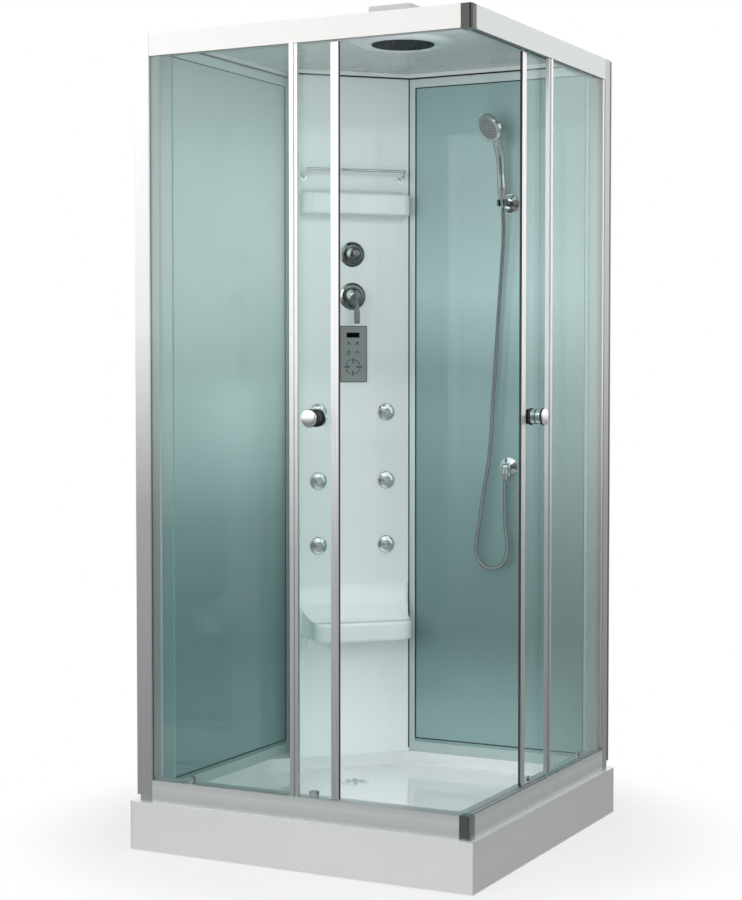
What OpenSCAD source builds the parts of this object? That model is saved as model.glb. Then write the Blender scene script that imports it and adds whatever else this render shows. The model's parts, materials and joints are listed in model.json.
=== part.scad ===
// Square corner-entry shower cabin.
// The origin is on the floor under the middle of the tray, +Z is up.
// The left front face looks along -Y and the right front face along +X, so the entry is at (+X, -Y).
// Parts of the left face are drawn in (x, p, z), where p is the depth in from that face's outside.
// The right face is its mirror image through the entry corner.
// Parts of the corner column are drawn in (u, v, z): u runs along its face and v goes out into the cabin.

/* [Cabin] */
// Side of the square tray
tray_side = 1000; // [960:10:1060]
// Height of the frame's top above the floor
frame_top = 2150; // [2060:10:2240]
// Distance from the tray's edge to the frame's outside
frame_inset = 15; // [12:1:18]
// Depth of the back walls' frames
wall_d = 40; // [36:1:44]
// Gap between the back walls' outside and the outside of the front frame's posts
wall_back_gap = 5; // [3:1:8]

/* [Tray] */
// Height of the tray's rim
tray_h = 131; // [120:1:150]
// Thickness of the tray's skin
tray_skin = 5; // [4:1:7]
// Height of the basin's floor
basin_z = 90; // [86:1:96]
// Radius of the basin's corners seen from above
basin_r = 45; // [30:1:60]
// Gap between the skirt and the floor
skirt_gap = 3; // [2:1:6]
// Radius of the skirt's corners, apart from the sharp entry corner
skirt_r = 12; // [6:1:20]
// Width of the steel tubes under the tray
tube_w = 25; // [20:1:30]
// Wall of the steel tubes
tube_wall = 2; // [1.5:0.5:3]
// Distance from the tray's edge to the middle of the outer tubes
tube_inset = 90; // [85:1:105]
// Radius of a foot's pad
foot_r = 25; // [20:1:30]
// Radius of a foot's screw
foot_screw_r = 6; // [5:0.5:7]

/* [Drain] */
// Place of the drain along X
drain_x = -158; // [-180:1:-140]
// Place of the drain along Y
drain_y = 142; // [130:1:160]
// Radius of the drain grid
drain_r = 39; // [36:1:44]
// Radius of the waste pipe
waste_r = 20; // [16:1:20]
// Height of the waste pipe's middle
waste_z = 30; // [28:1:32]

/* [Front frame] */
// Height of the rails
rail_h = 58; // [50:1:64]
// Depth of the rails
rail_d = 46; // [44:1:50]
// Wall of the rails and posts
rail_wall = 3; // [2:0.5:3.5]
// Width of a post's face
post_w = 38; // [34:1:44]
// Width of the strip beside a post
strip_w = 12; // [10:1:14]
// How far the strip lies behind the post's face
strip_back = 5; // [3:1:8]
// Height of the strip's lower end above the tray
strip_lift = 15; // [8:1:22]
// Length of the corner caps along each face
cap_l = 28; // [24:1:34]
// Edge radius of the corner caps
cap_r = 8; // [5:1:12]

/* [Panes] */
// Thickness of the panes
pane_t = 6; // [5:0.5:6]
// Depth of the fixed pane in the frame
fixed_p = 4; // [4:0.5:5]
// Place of the fixed pane's free edge profile along the face
fixed_end = 5; // [-5:1:5]
// Width of the fixed pane's edge profile
edge_w = 22; // [18:1:26]
// How deep the panes sit in the rails
pane_seat = 17; // [12:1:20]

/* [Doors] */
// Depth of the door pane in the frame
door_p = 18; // [18:0.5:19]
// Width of a door
door_w = 500; // [480:1:510]
// How far the left door's leading edge stands from the middle of the face
lead_left = 122; // [115:1:140]
// The same for the right door
lead_right = 135; // [115:1:140]
// Width of the leading edge profile
lead_w = 22; // [18:1:26]
// Width of the black seal
seal_w = 5; // [4:0.5:6]
// Distance from the leading edge to the knob's axis
knob_back = 70; // [62:1:72]
// Height of the knob's axis
knob_z = 1153; // [1000:1:1250]
// Length of the outer knob
knob_l = 45; // [38:1:48]
// Length of the inner knob, short enough for both doors to close
knob_in = 36; // [30:1:37]
// Radius of the knob's cap
knob_r = 23; // [20:0.5:24]
// Distance from the leading edge to the first hanger and guide
guide_front = 80; // [74:1:95]
// Distance from the trailing edge to the second hanger and guide
guide_rear = 51; // [40:1:70]
// Radius of the roller's groove, which runs on the track
roller_r = 9; // [8:0.5:10]
// Radius of the roller's axle
axle_r = 3; // [2.5:0.5:4]

/* [Back walls] */
// Width of the frame members beside the posts
wall_front_w = 14; // [12:1:18]
// Width of the frame members beside the column
wall_rear_w = 19; // [16:1:24]
// Height of the lower and upper frame members
wall_rail_h = 30; // [24:1:36]
// How far the coated glass lies behind the frame's face
glass_back = 4; // [3:0.5:6]
// Distance from the left wall's end at the column to the inside of the right wall
left_wall_rest = 180; // [170:1:190]

/* [Column] */
// Width of the column's face from the diagonal to the right wall
face_right = 218; // [214:1:222]
// Left end of the face, along the face from the diagonal
face_left = -140; // [-142:1:-134]
// Thickness of the column's skin
skin = 5; // [4:1:6]
// Middle line of the fixtures, along the face from the diagonal
mid_u = 40; // [38:1:42]
// Half the width of the shelf
shelf_half = 164; // [150:1:166]
// Depth of the shelf
shelf_d = 72; // [60:1:85]
// Distance of the shelf's top below the frame's top
shelf_drop = 360; // [350:1:380]
// Height of the shelf's front edge
shelf_h = 62; // [45:1:64]
// Half the width of the seat
seat_half = 150; // [135:1:156]
// Depth of the seat
seat_d = 150; // [120:1:170]
// Height of the seat's top
seat_z = 541; // [500:1:600]
// Height of the seat's front edge
seat_h = 53; // [44:1:60]

/* [Fittings] */
// Distance of the diverter below the frame's top
diverter_drop = 535; // [525:1:542]
// Distance of the mixer below the frame's top
mixer_drop = 658; // [650:1:665]
// Radius of the mixer's dome
dome_r = 26; // [24:0.5:28]
// Length of the mixer's lever below its pivot
lever_l = 82; // [74:1:84]
// Width of the key panel
keypad_w = 84; // [76:1:96]
// Height of the key panel
keypad_h = 166; // [150:1:168]
// Distance of the key panel's middle below the frame's top
keypad_drop = 828; // [827:1:834]
// Radius of a jet's bezel
jet_r = 26; // [24:0.5:28]
// Distance of the jets from the middle line
jet_u = 105; // [100:1:112]
// Heights of the three rows of jets
jet_z = [757, 948, 1150]; // [740:1:1160]
// Radius of a jet's ball
ball_r = 12; // [11:0.5:13]
// Radius of the towel rail's bar
towel_r = 4.5; // [4:0.5:6]
// Half the distance between the towel rail's feet
towel_half = 149; // [130:1:155]
// Distance of the towel rail's feet below the frame's top
towel_drop = 314; // [300:1:325]
// How far the towel rail's bar stands off the column
towel_off = 45; // [40:1:60]

/* [Hand shower] */
// Place of the holder and the outlet along the right wall
wall_x = 191; // [180:1:200]
// Distance of the holder below the frame's top
holder_drop = 395; // [380:1:410]
// How far the handset's foot stands off the glass
holder_off = 54; // [50:1:58]
// Lean of the handset into the cabin, in degrees
lean = 8; // [6:1:10]
// Length of the handset's straight handle
handle_l = 104; // [95:1:110]
// Radius of the handset's head
head_r = 42; // [38:1:44]
// Turn of the head towards the left wall, in degrees
head_turn = 25; // [15:1:30]
// Tilt of the head down from the handle, in degrees
head_tilt = 20; // [10:1:25]
// Height of the outlet
outlet_z = 993; // [985:1:1000]
// Radius of the wall plates
plate_r = 28; // [24:1:32]
// Radius of the hose, over its ribs
hose_r = 6; // [5.5:0.5:6.5]
// Radius of the hose's bore
hose_bore = 4; // [3:0.5:4.5]

/* [Ceiling] */
// Thickness of the ceiling panel
roof_t = 4; // [3:0.5:6]
// How far the ceiling panel's edge lies inside the frame's outside
roof_inset = 22; // [20:1:30]
// Place of the rain head along X
rain_x = 92; // [80:1:100]
// Place of the rain head along Y
rain_y = -57; // [-70:1:-45]
// Radius of the rain head
rain_r = 84; // [78:1:90]
// Radius of the ring round the rain head
ring_r = 141; // [130:1:150]
// How far the ring hangs below the ceiling
ring_h = 9; // [7:1:14]
// Size of the box on the roof
box_size = [116, 92, 36]; // [30:1:130]
// Distance of the box from the ceiling panel's right and front edges
box_at = [203, 104]; // [90:1:215]

/* [Clearances] */
// Gap between pieces that move past each other
run_gap = 0.3; // [0.3:0.05:0.6]
// Radial clearance of an axle in its bore
axle_gap = 0.05; // [0.02:0.01:0.1]
// Clearance round a pane in its slot
slot_gap = 0.3; // [0.2:0.1:0.5]

/* [Hidden] */
$fn = 64;
s45 = sqrt(0.5);
e = 0.01;

half = tray_side / 2;
face = half - frame_inset;
wall_out = face - wall_back_gap;
wall_in = wall_out - wall_d;
glass_in = wall_in + glass_back;

rim = tray_h;
rail_top = rim + rail_h;
head_z = frame_top - rail_h;
post_in = -(face - 1 - strip_w - post_w + 2);
post_out = post_in - post_w;
strip_out = post_out - strip_w;
cap_x = face - cap_l;

fixed_left = post_in - 6;
fixed_low = rail_top - pane_seat;
fixed_high = head_z + pane_seat - 1;
edge_in_x = fixed_end - edge_w;
edge_front_p = 1;
edge_back_p = door_p - 4 - 0.5;

profile_p0 = door_p - 4;
profile_p1 = door_p + pane_t + 4;
door_low = rail_top + 3;
door_high = head_z - 3;
pane_low = rail_top + 6;
pane_high = head_z + 20;
mitre_gap = 0.2;
rib_t = 2;
track_p = door_p + 19;
ledge_p = track_p - 6;
ledge_z = head_z + 4;
bead_w = 3;
track_z = ledge_z + rail_wall + 2.5;
roller_w = 9;
roller_z = track_z + run_gap + roller_r;
flange_r = roller_r + 2;
clip_r = axle_r + 1.2;
clip_t = 0.7;
groove_w = 4.2;
groove_depth = 12;
tongue_w = groove_w - 2 * run_gap;
plate_p = door_p + pane_t;
hanger_bolt_z = head_z + 10;
hanger_t = 3;
bolt_r = 4;
knob_bolt_r = 5.5;

left_wall_end = wall_in - left_wall_rest;
face_k = 2 * wall_in * s45 - face_right;
right_wall_end = -(wall_in - 2 * face_k * s45);
shelf_z = frame_top - shelf_drop;
towel_z = frame_top - towel_drop;
diverter_z = frame_top - diverter_drop;
mixer_z = frame_top - mixer_drop;
keypad_z = frame_top - keypad_drop;
holder_z = frame_top - holder_drop;

tube_x = half - tube_inset;
tube_top = basin_z - tray_skin - 1;
tube_low = tube_top - tube_w;
foot_at = [[-1, -1], [1, -1], [1, 1], [-1, 1], [0, 0]];

cove = 14;
basin_front = face - rail_d - 3;
basin_wall = wall_in - 3;
basin_diag = face_k / s45 - 3;

rain_z = frame_top - ring_h + 2;
pipe_r = 8;
riser_w = 30;
roof_top = frame_top + roof_t;
pipe_z = roof_top + pipe_r + 6;

dome_v = 18;
shaft_r = 6;
mixer_shaft_r = 8;
shaft_in = 14;
lever_in = dome_r + 0.4;
lever_out = lever_in + 5;
ball_v = 5;
seat_r = ball_r + run_gap;

hand_y = glass_in - holder_off;
nut_low = -12;
hose_seat = 0.05;
nut_high = 34;
head_at = [-10, -30, 215];
outlet_off = 32;
nut_drop = 38;

// Points of the hose between its two straight ends, chosen by hand for a holder 762 above the outlet:
// along the wall from the outlet, out from the glass, and up from the outlet
hose_mid = [
    [0, 47, 707], [-1, 44, 678], [-5, 41, 621], [-11, 39, 546], [-18, 39, 449], [-25, 39, 340],
    [-34, 39, 207], [-40, 40, 95], [-48, 40, 14], [-61, 41, -60], [-71, 42, -128], [-80, 42, -184],
    [-84, 42, -213], [-86, 42, -238], [-83, 42, -261], [-72, 42, -280], [-56, 42, -292], [-37, 42, -296],
    [-17, 42, -291], [-1, 41, -278], [8, 40, -260], [11, 38, -237], [9, 36, -213], [3, 34, -171],
    [0, 32, -122], [0, 32, -83]
];
hose_rise = (holder_z - outlet_z) / 762;
hose_ribs = 196;
hose_sides = 8;

// Frames of reference

module left_side() {
    translate([0, -face, 0]) children();
}

module right_side() {
    mirror([1, 1, 0]) left_side() children();
}

// (u, v, z) with v into the cabin
module at_face(u, z, v = 0) {
    rotate([0, 0, 45]) translate([u, face_k - v, z]) children();
}

// Turned so that a shape drawn along +Z comes out of the column's face
module out_of_face(u, z) {
    at_face(u, z) rotate([90, 0, 0]) children();
}

// Plan place of a point on the column: u along the face, w behind it
function plan(u, w) = [s45 * (u - face_k - w), s45 * (u + face_k + w)];

// A point on the handset's own axis, h up from the holder
function on_handset(h) = [wall_x, hand_y - h * sin(lean), holder_z + h * cos(lean)];

module at_handset() {
    translate([wall_x, hand_y, holder_z]) rotate([lean, 0, 0]) children();
}

// Shared shapes

module box(x0, x1, y0, y1, z0, z1) {
    translate([x0, y0, z0]) cube([x1 - x0, y1 - y0, z1 - z0]);
}

function left_of(d) = [-d[1], d[0]] / norm(d);

// The strip beside the plan line a-b, t thick on its left side
module plank(a, b, t) {
    n = left_of(b - a) * t;
    polygon([a, b, b + n, a + n]);
}

module rod(a, b, r) {
    d = b - a;
    l = norm(d);
    translate(a)
        rotate([0, acos(d[2] / l), atan2(d[1], d[0])])
            cylinder(r = r, h = l);
}

// A pipe through a list of points with a ball at each bend
module pipe(points, r) {
    for (i = [0 : len(points) - 2]) rod(points[i], points[i + 1], r);
    for (i = [1 : 1 : len(points) - 2]) translate(points[i]) sphere(r + 0.6);
}

// A rectangle with its corners rounded by circles
module round_rect(w, h, r) {
    square([w - 2 * r, h], center = true);
    square([w, h - 2 * r], center = true);
    for (sx = [-1, 1], sy = [-1, 1]) translate([sx * (w / 2 - r), sy * (h / 2 - r)]) circle(r);
}

// Tray and what carries it

function basin_points(i) = let(f = basin_front - i, b = basin_wall - i, d = basin_diag - i / s45) [
    [-b, -f], [f, -f], [f, b], [b - d, b], [-b, d - b]
];

module basin_layer(i, z, h = e) {
    translate([0, 0, z]) linear_extrude(h) offset(r = basin_r) offset(delta = -basin_r - i)
        polygon(basin_points(0));
}

// Hollow of the basin, with a cove round its floor
module basin_hollow() {
    hull() {
        basin_layer(0, rim + 1, $fn = 24);
        basin_layer(1, basin_z + cove * 1.2, $fn = 24);
        basin_layer(3, basin_z + cove * 0.5, $fn = 24);
        basin_layer(cove * 0.6, basin_z + cove * 0.16, $fn = 24);
        basin_layer(cove * 1.3, basin_z, $fn = 24);
    }
}

module skirt_outline(i) {
    r = skirt_r - i;
    h = half - i;
    difference() {
        translate([-h, -h]) square(2 * h);
        for (q = [[-1, -1], [1, 1], [-1, 1]])
            translate([q[0] * (h - r), q[1] * (h - r)]) difference() {
                translate([min(0, q[0] * 2 * r), min(0, q[1] * 2 * r)]) square(2 * r);
                circle(r);
            }
    }
}

module tray() {
    under_floor = basin_z - tray_skin;
    color("white") difference() {
        translate([0, 0, skirt_gap]) linear_extrude(rim - skirt_gap) skirt_outline(0);
        basin_hollow();
        translate([0, 0, skirt_gap - 1]) linear_extrude(under_floor - skirt_gap + 1)
            skirt_outline(tray_skin);
        difference() {
            translate([0, 0, under_floor - 1]) linear_extrude(rim - tray_skin - under_floor + 1)
                skirt_outline(tray_skin);
            translate([0, 0, under_floor - 2]) linear_extrude(rim) polygon(basin_points(-tray_skin));
        }
        translate([drain_x, drain_y, under_floor - 1]) cylinder(r = drain_r - 5, h = tray_skin + 2);
        box(drain_x - waste_r - 14, drain_x + waste_r + 14, half - 2 * tray_skin, half + 1,
            0, waste_z + waste_r + 14);
    }
}

module tube_x_way(y, x0, x1) {
    difference() {
        box(x0, x1, y - tube_w / 2, y + tube_w / 2, tube_low, tube_top + 1);
        box(x0 - 1, x1 + 1, y - tube_w / 2 + tube_wall, y + tube_w / 2 - tube_wall,
            tube_low + tube_wall, tube_top + 1 - tube_wall);
    }
}

module tray_frame() {
    outer = tube_x + tube_w / 2;
    inner = tube_x - tube_w / 2;
    color("dimgray") {
        for (y = [-tube_x, tube_x]) tube_x_way(y, -outer, outer);
        for (x = [-tube_x, tube_x]) rotate([0, 0, 90]) tube_x_way(-x, -inner, inner);
        tube_x_way(0, -inner, inner);
    }
}

module feet() {
    pad_h = 8;
    nut_h = 8;
    color("gray") for (q = foot_at) translate([q[0] * tube_x, q[1] * tube_x, 0]) {
        cylinder(r = foot_r, h = pad_h / 2);
        translate([0, 0, pad_h / 2 - e]) cylinder(r1 = foot_r - 2, r2 = foot_screw_r + 4, h = pad_h / 2);
        cylinder(r = foot_screw_r, h = tube_low - e);
        translate([0, 0, tube_low - nut_h]) cylinder(r = foot_screw_r + 5, h = nut_h, $fn = 6);
    }
}

module drain_trap() {
    neck_r = drain_r - 5 - 0.2;
    under_floor = basin_z - tray_skin;
    trap_r = drain_r + 2;
    trap_low = waste_z - waste_r - 2;
    pipe_from = drain_y + trap_r + 12;
    color("gainsboro") difference() {
        union() {
            translate([drain_x, drain_y, trap_low]) cylinder(r = trap_r, h = under_floor - trap_low);
            translate([drain_x, drain_y, under_floor - 3]) cylinder(r = neck_r, h = tray_skin + 3);
            translate([drain_x, drain_y, under_floor - 5]) cylinder(r = trap_r + 5, h = 5);
            // The pipe starts clear of the trap, on a narrower neck
            translate([drain_x, drain_y, waste_z]) rotate([-90, 0, 0])
                cylinder(r = waste_r - 1.5, h = pipe_from - drain_y + 1);
            translate([drain_x, pipe_from, waste_z]) rotate([-90, 0, 0])
                cylinder(r = waste_r, h = half - pipe_from);
        }
        translate([drain_x, drain_y, waste_z + 6]) cylinder(r = neck_r - 3, h = basin_z);
        translate([drain_x, drain_y, waste_z]) rotate([-90, 0, 0])
            cylinder(r = waste_r - 4.5, h = half);
    }
}

module drain_grid() {
    grid_t = 2;
    slots = 3;
    color("silver") translate([drain_x, drain_y, basin_z]) difference() {
        union() {
            cylinder(r = drain_r, h = grid_t);
            translate([0, 0, grid_t - e]) cylinder(r1 = drain_r - 2, r2 = drain_r - 6, h = 1.2);
        }
        for (i = [0 : 5]) rotate([0, 0, i * 60]) for (j = [1 : slots])
            translate([drain_r * j / (slots + 1.2), 0, -1]) {
                linear_extrude(grid_t + 4) round_rect(5, 5 + 3 * j, 2);
            }
        translate([0, 0, -1]) cylinder(r = 2.5, h = grid_t + 4);
    }
}

// Rails of the front frame, drawn along X in (x, p, z)

// Cuts a rail to its mitre at the entry corner, just short of the cap and of the other rail
module rail_mitre() {
    difference() {
        children();
        box(cap_x - mitre_gap, face + 1, -1, rail_d + 1, rim - 1, frame_top + 1);
        translate([face - rail_d, rail_d, rim - 1]) rotate([0, 0, 45])
            box(-mitre_gap, 3 * rail_d, -3 * rail_d, 3 * rail_d, 0, frame_top - rim + 2);
    }
}

module bottom_rail() {
    slot_p0 = fixed_p - slot_gap;
    slot_p1 = fixed_p + pane_t + slot_gap;
    groove_p = door_p + pane_t / 2;
    color([0.62, 0.63, 0.64]) rail_mitre() difference() {
        box(post_in, cap_x, 0, rail_d, rim, rail_top);
        box(post_in - 1, face, slot_p0, slot_p1, fixed_low, rail_top + 1);
        box(post_in - 1, face, groove_p - groove_w / 2, groove_p + groove_w / 2,
            rail_top - groove_depth, rail_top + 1);
        box(post_in - 1, face, rail_wall, rail_d - rail_wall, rim + rail_wall,
            fixed_low - rail_wall);
        box(post_in - 1, face, slot_p1 + rail_wall, groove_p - groove_w / 2 - rail_wall,
            fixed_low - rail_wall - 1, rail_top - rail_wall);
        box(post_in - 1, face, groove_p + groove_w / 2 + rail_wall, rail_d - rail_wall,
            fixed_low - rail_wall - 1, rail_top - rail_wall);
        box(post_in - 1, face, -1, 1, rim + 10, rim + 11.5);
    }
}

module top_rail() {
    slot_p0 = fixed_p - slot_gap;
    slot_p1 = fixed_p + pane_t + slot_gap;
    deck_z = frame_top - rail_wall;
    color([0.85, 0.86, 0.86]) rail_mitre() difference() {
        box(post_in, cap_x, 0, rail_d, head_z, frame_top);
        box(post_in - 1, face, slot_p0, slot_p1, head_z - 1, fixed_high);
        box(post_in - 1, face, slot_p0, slot_p1, fixed_high + rail_wall, deck_z);
        box(post_in - 1, face, slot_p1 + rib_t, rail_d - rail_wall, track_z, deck_z);
        box(post_in - 1, face, slot_p1 + rib_t, ledge_p, head_z - 1, track_z + 1);
        box(post_in - 1, face, ledge_p - 1, track_p - bead_w / 2, ledge_z + rail_wall, track_z + 1);
        box(post_in - 1, face, track_p + bead_w / 2, rail_d - rail_wall, ledge_z + rail_wall, track_z + 1);
        box(post_in - 1, face, ledge_p - 1, rail_d + 1, head_z - 1, ledge_z);
    }
}

module bottom_rail_left() {
    left_side() bottom_rail();
}

module bottom_rail_right() {
    right_side() bottom_rail();
}

module top_rail_left() {
    left_side() top_rail();
}

module top_rail_right() {
    right_side() top_rail();
}

// Chrome cap: a block with a rounded outer edge, proud of the rails by 1 mm, on a small plinth
module corner_cap(z0, z1, plinth_z) {
    proud = 1;
    x1 = face + proud;
    module footprint(grow) {
        difference() {
            translate([cap_x, -x1 - grow]) square([x1 + grow - cap_x, x1 + grow - cap_x]);
            translate([x1 + grow - cap_r, -x1 - grow + cap_r]) difference() {
                translate([0, -cap_r - 1]) square(cap_r + 1);
                circle(cap_r);
            }
        }
    }
    translate([0, 0, z0]) linear_extrude(z1 - z0) footprint(0);
    translate([0, 0, plinth_z]) linear_extrude(6) footprint(1);
}

module corner_caps() {
    color("silver") {
        corner_cap(rim, rail_top + 2, rim);
        corner_cap(head_z - 2, frame_top, head_z - 2);
    }
}

module post() {
    w = rail_wall - 0.5;
    color([0.78, 0.79, 0.79]) difference() {
        union() {
            translate([(post_out + post_in) / 2, rail_d / 2, rim]) linear_extrude(frame_top - rim)
                round_rect(post_w, rail_d, 3);
            box(strip_out, post_out + 3.5, strip_back, rail_d - 2, rim + strip_lift, frame_top);
        }
        box(post_out + w, fixed_left - w, w, rail_d - w, rim - 1, frame_top + 1);
        box(post_in - 8, post_in - w, fixed_p + pane_t + w, rail_d - w, rim - 1, frame_top + 1);
        box(strip_out + 2, post_out - 1, strip_back + 2, rail_d - 4, rim, frame_top + 1);
        box(fixed_left - e, post_in + 1, fixed_p - slot_gap, fixed_p + pane_t + slot_gap,
            fixed_low - e, fixed_high + 1);
    }
}

module post_left() {
    left_side() post();
}

module post_right() {
    right_side() post();
}

module fixed_glass() {
    color([0.75, 0.9, 0.87, 0.4])
        box(fixed_left, edge_in_x + 9, fixed_p, fixed_p + pane_t, fixed_low, fixed_high - 0.3);
}

module fixed_glass_left() {
    left_side() fixed_glass();
}

module fixed_glass_right() {
    right_side() fixed_glass();
}

// Stepped channel on the free edge of the fixed pane
module fixed_edge() {
    bright_w = 12;
    color([0.8, 0.81, 0.81]) difference() {
        translate([0, 0, rail_top]) linear_extrude(head_z - rail_top) polygon([
            [edge_in_x, edge_front_p], [edge_in_x + bright_w, edge_front_p],
            [edge_in_x + bright_w, fixed_p], [fixed_end, fixed_p],
            [fixed_end, edge_back_p], [edge_in_x, edge_back_p]
        ]);
        box(edge_in_x - 1, edge_in_x + 9, fixed_p - slot_gap / 2, fixed_p + pane_t + slot_gap / 2,
            rail_top - 1, head_z + 1);
    }
}

module fixed_edge_left() {
    left_side() fixed_edge();
}

module fixed_edge_right() {
    right_side() fixed_edge();
}

// Back walls, drawn for the left side: the wall runs along Y and its face looks along +X

module back_frame(end) {
    y0 = -face + rail_d;
    z0 = rim;
    z1 = frame_top;
    in_y0 = y0 + wall_front_w;
    in_y1 = end - wall_rear_w;
    in_z0 = z0 + wall_rail_h;
    in_z1 = z1 - wall_rail_h;
    lip = 8;
    w = 2.5;
    color([0.72, 0.75, 0.76]) difference() {
        box(-wall_out, -wall_in, y0, end, z0, z1);
        box(-wall_out - 1, -wall_in + 1, in_y0, in_y1, in_z0, in_z1);
        box(-glass_in - pane_t - slot_gap, -glass_in + slot_gap, in_y0 - lip - slot_gap,
            in_y1 + lip + slot_gap, in_z0 - lip - slot_gap, in_z1 + lip + slot_gap);
        box(-wall_out + w, -glass_in - pane_t - w - 1, y0 + w, in_y0 - w, z0 - 1, z1 + 1);
        box(-wall_out + w, -glass_in - pane_t - w - 1, in_y1 + w, end - w, z0 - 1, z1 + 1);
        box(-wall_out + w, -glass_in - pane_t - w - 1, in_y0 - w, in_y1 + w, z0 + w, in_z0 - w);
        box(-wall_out + w, -glass_in - pane_t - w - 1, in_y0 - w, in_y1 + w, in_z1 + w, z1 - w);
    }
}

module back_glass(end) {
    lip = 8;
    color([0.42, 0.56, 0.56])
        box(-glass_in - pane_t, -glass_in, -face + rail_d + wall_front_w - lip,
            end - wall_rear_w + lip, rim + wall_rail_h - lip, frame_top - wall_rail_h + lip);
}

module back_frame_left() {
    back_frame(left_wall_end);
}

module back_frame_right() {
    mirror([1, 1, 0]) back_frame(right_wall_end);
}

module back_glass_left() {
    back_glass(left_wall_end);
}

module back_glass_right() {
    difference() {
        mirror([1, 1, 0]) back_glass(right_wall_end);
        translate([wall_x, glass_in - 1, outlet_z]) rotate([-90, 0, 0])
            cylinder(r = pipe_r + slot_gap, h = pane_t + 2);
    }
}

// Corner column

// Plan slab of a ledge with round front corners, at the face's middle line
module ledge_slab(half_w, d, r, inset, z0, z1) {
    w = half_w - inset;
    q = d - inset;
    translate([0, 0, z0]) linear_extrude(z1 - z0) {
        translate([-w, -q + r]) square([2 * w, q - r + 2]);
        translate([-w + r, -q]) square([2 * w - 2 * r, q]);
        for (sx = [-1, 1]) translate([sx * (w - r), -q + r]) circle(r, $fn = 32);
    }
}

module ledge(half_w, d, r, z0, z1) {
    edge = 7;
    hull() {
        ledge_slab(half_w, d, r - edge, edge, z0, z1);
        ledge_slab(half_w, d, r - 0.3 * edge, 0.3 * edge, z0 + 0.3 * edge, z1 - 0.3 * edge);
        ledge_slab(half_w, d, r, 0, z0 + edge, z1 - edge);
    }
}

// Hollow curve where a ledge meets the face: up is 1 above the ledge and -1 below it
module fillet_bar(half_w, r, z, up) {
    translate([0, 0, z]) difference() {
        translate([-half_w, -r, up > 0 ? -1 : -r]) cube([2 * half_w, r + 1, r + 1]);
        translate([-half_w - 1, -r - 0.8, up * (r + 0.8)]) rotate([0, 90, 0])
            cylinder(r = r + 0.5, h = 2 * half_w + 2);
    }
}

// Bent skin seen from above: a flange on the left wall, the return, the face and a flange on the right wall
module column_plan() {
    edge_c = plan(face_left + skin, skin);
    turn_l = [-wall_in, left_wall_end];
    end_r = plan(face_right, 0);
    rotate(45) translate([face_left + skin, face_k]) square([face_right - face_left - skin, skin]);
    translate(edge_c) circle(skin);
    plank(edge_c + (skin - 0.4) * left_of(turn_l - edge_c), turn_l, -skin);
    translate([-wall_out, left_wall_end]) square([wall_d + 1, skin]);
    translate([end_r[0] - skin, wall_in - 1]) square([skin, wall_d + 1]);
}

module column() {
    seat_corner = 48;
    shelf_corner = 30;
    color("whitesmoke") difference() {
        union() {
            translate([0, 0, rim]) linear_extrude(frame_top - rim) column_plan();
            rotate([0, 0, 45]) translate([mid_u, face_k, 0]) {
                ledge(seat_half, seat_d, seat_corner, seat_z - seat_h, seat_z);
                ledge(shelf_half, shelf_d, shelf_corner, shelf_z - shelf_h, shelf_z);
                fillet_bar(seat_half - 14, 46, seat_z, 1);
                fillet_bar(seat_half - 14, 34, seat_z - seat_h, -1);
                fillet_bar(shelf_half - 10, 14, shelf_z, 1);
                fillet_bar(shelf_half - 10, 20, shelf_z - shelf_h, -1);
            }
        }
        rotate([0, 0, 45]) translate([mid_u, face_k, 0]) {
            box(-seat_half + 20, seat_half - 20, -seat_d + 24, skin + 1,
                seat_z - seat_h + skin, seat_z - skin);
            box(-shelf_half + 14, shelf_half - 14, -shelf_d + 14, skin + 1,
                shelf_z - shelf_h + skin, shelf_z - skin);
        }
        out_of_face(mid_u, diverter_z) translate([0, 0, -skin - 1]) cylinder(r = 14, h = skin + 2);
        out_of_face(mid_u, mixer_z) translate([0, 0, -skin - 1]) cylinder(r = 16, h = skin + 2);
        for (x = [-1, 1], z = jet_z) out_of_face(mid_u + x * jet_u, z)
            translate([0, 0, -skin - 1]) cylinder(r = jet_r - 9, h = skin + 2);
        for (x = [-1, 1]) out_of_face(mid_u + x * towel_half, towel_z)
            translate([0, 0, -skin - 1]) cylinder(r = towel_r + 0.2, h = skin + 2);
    }
}

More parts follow.
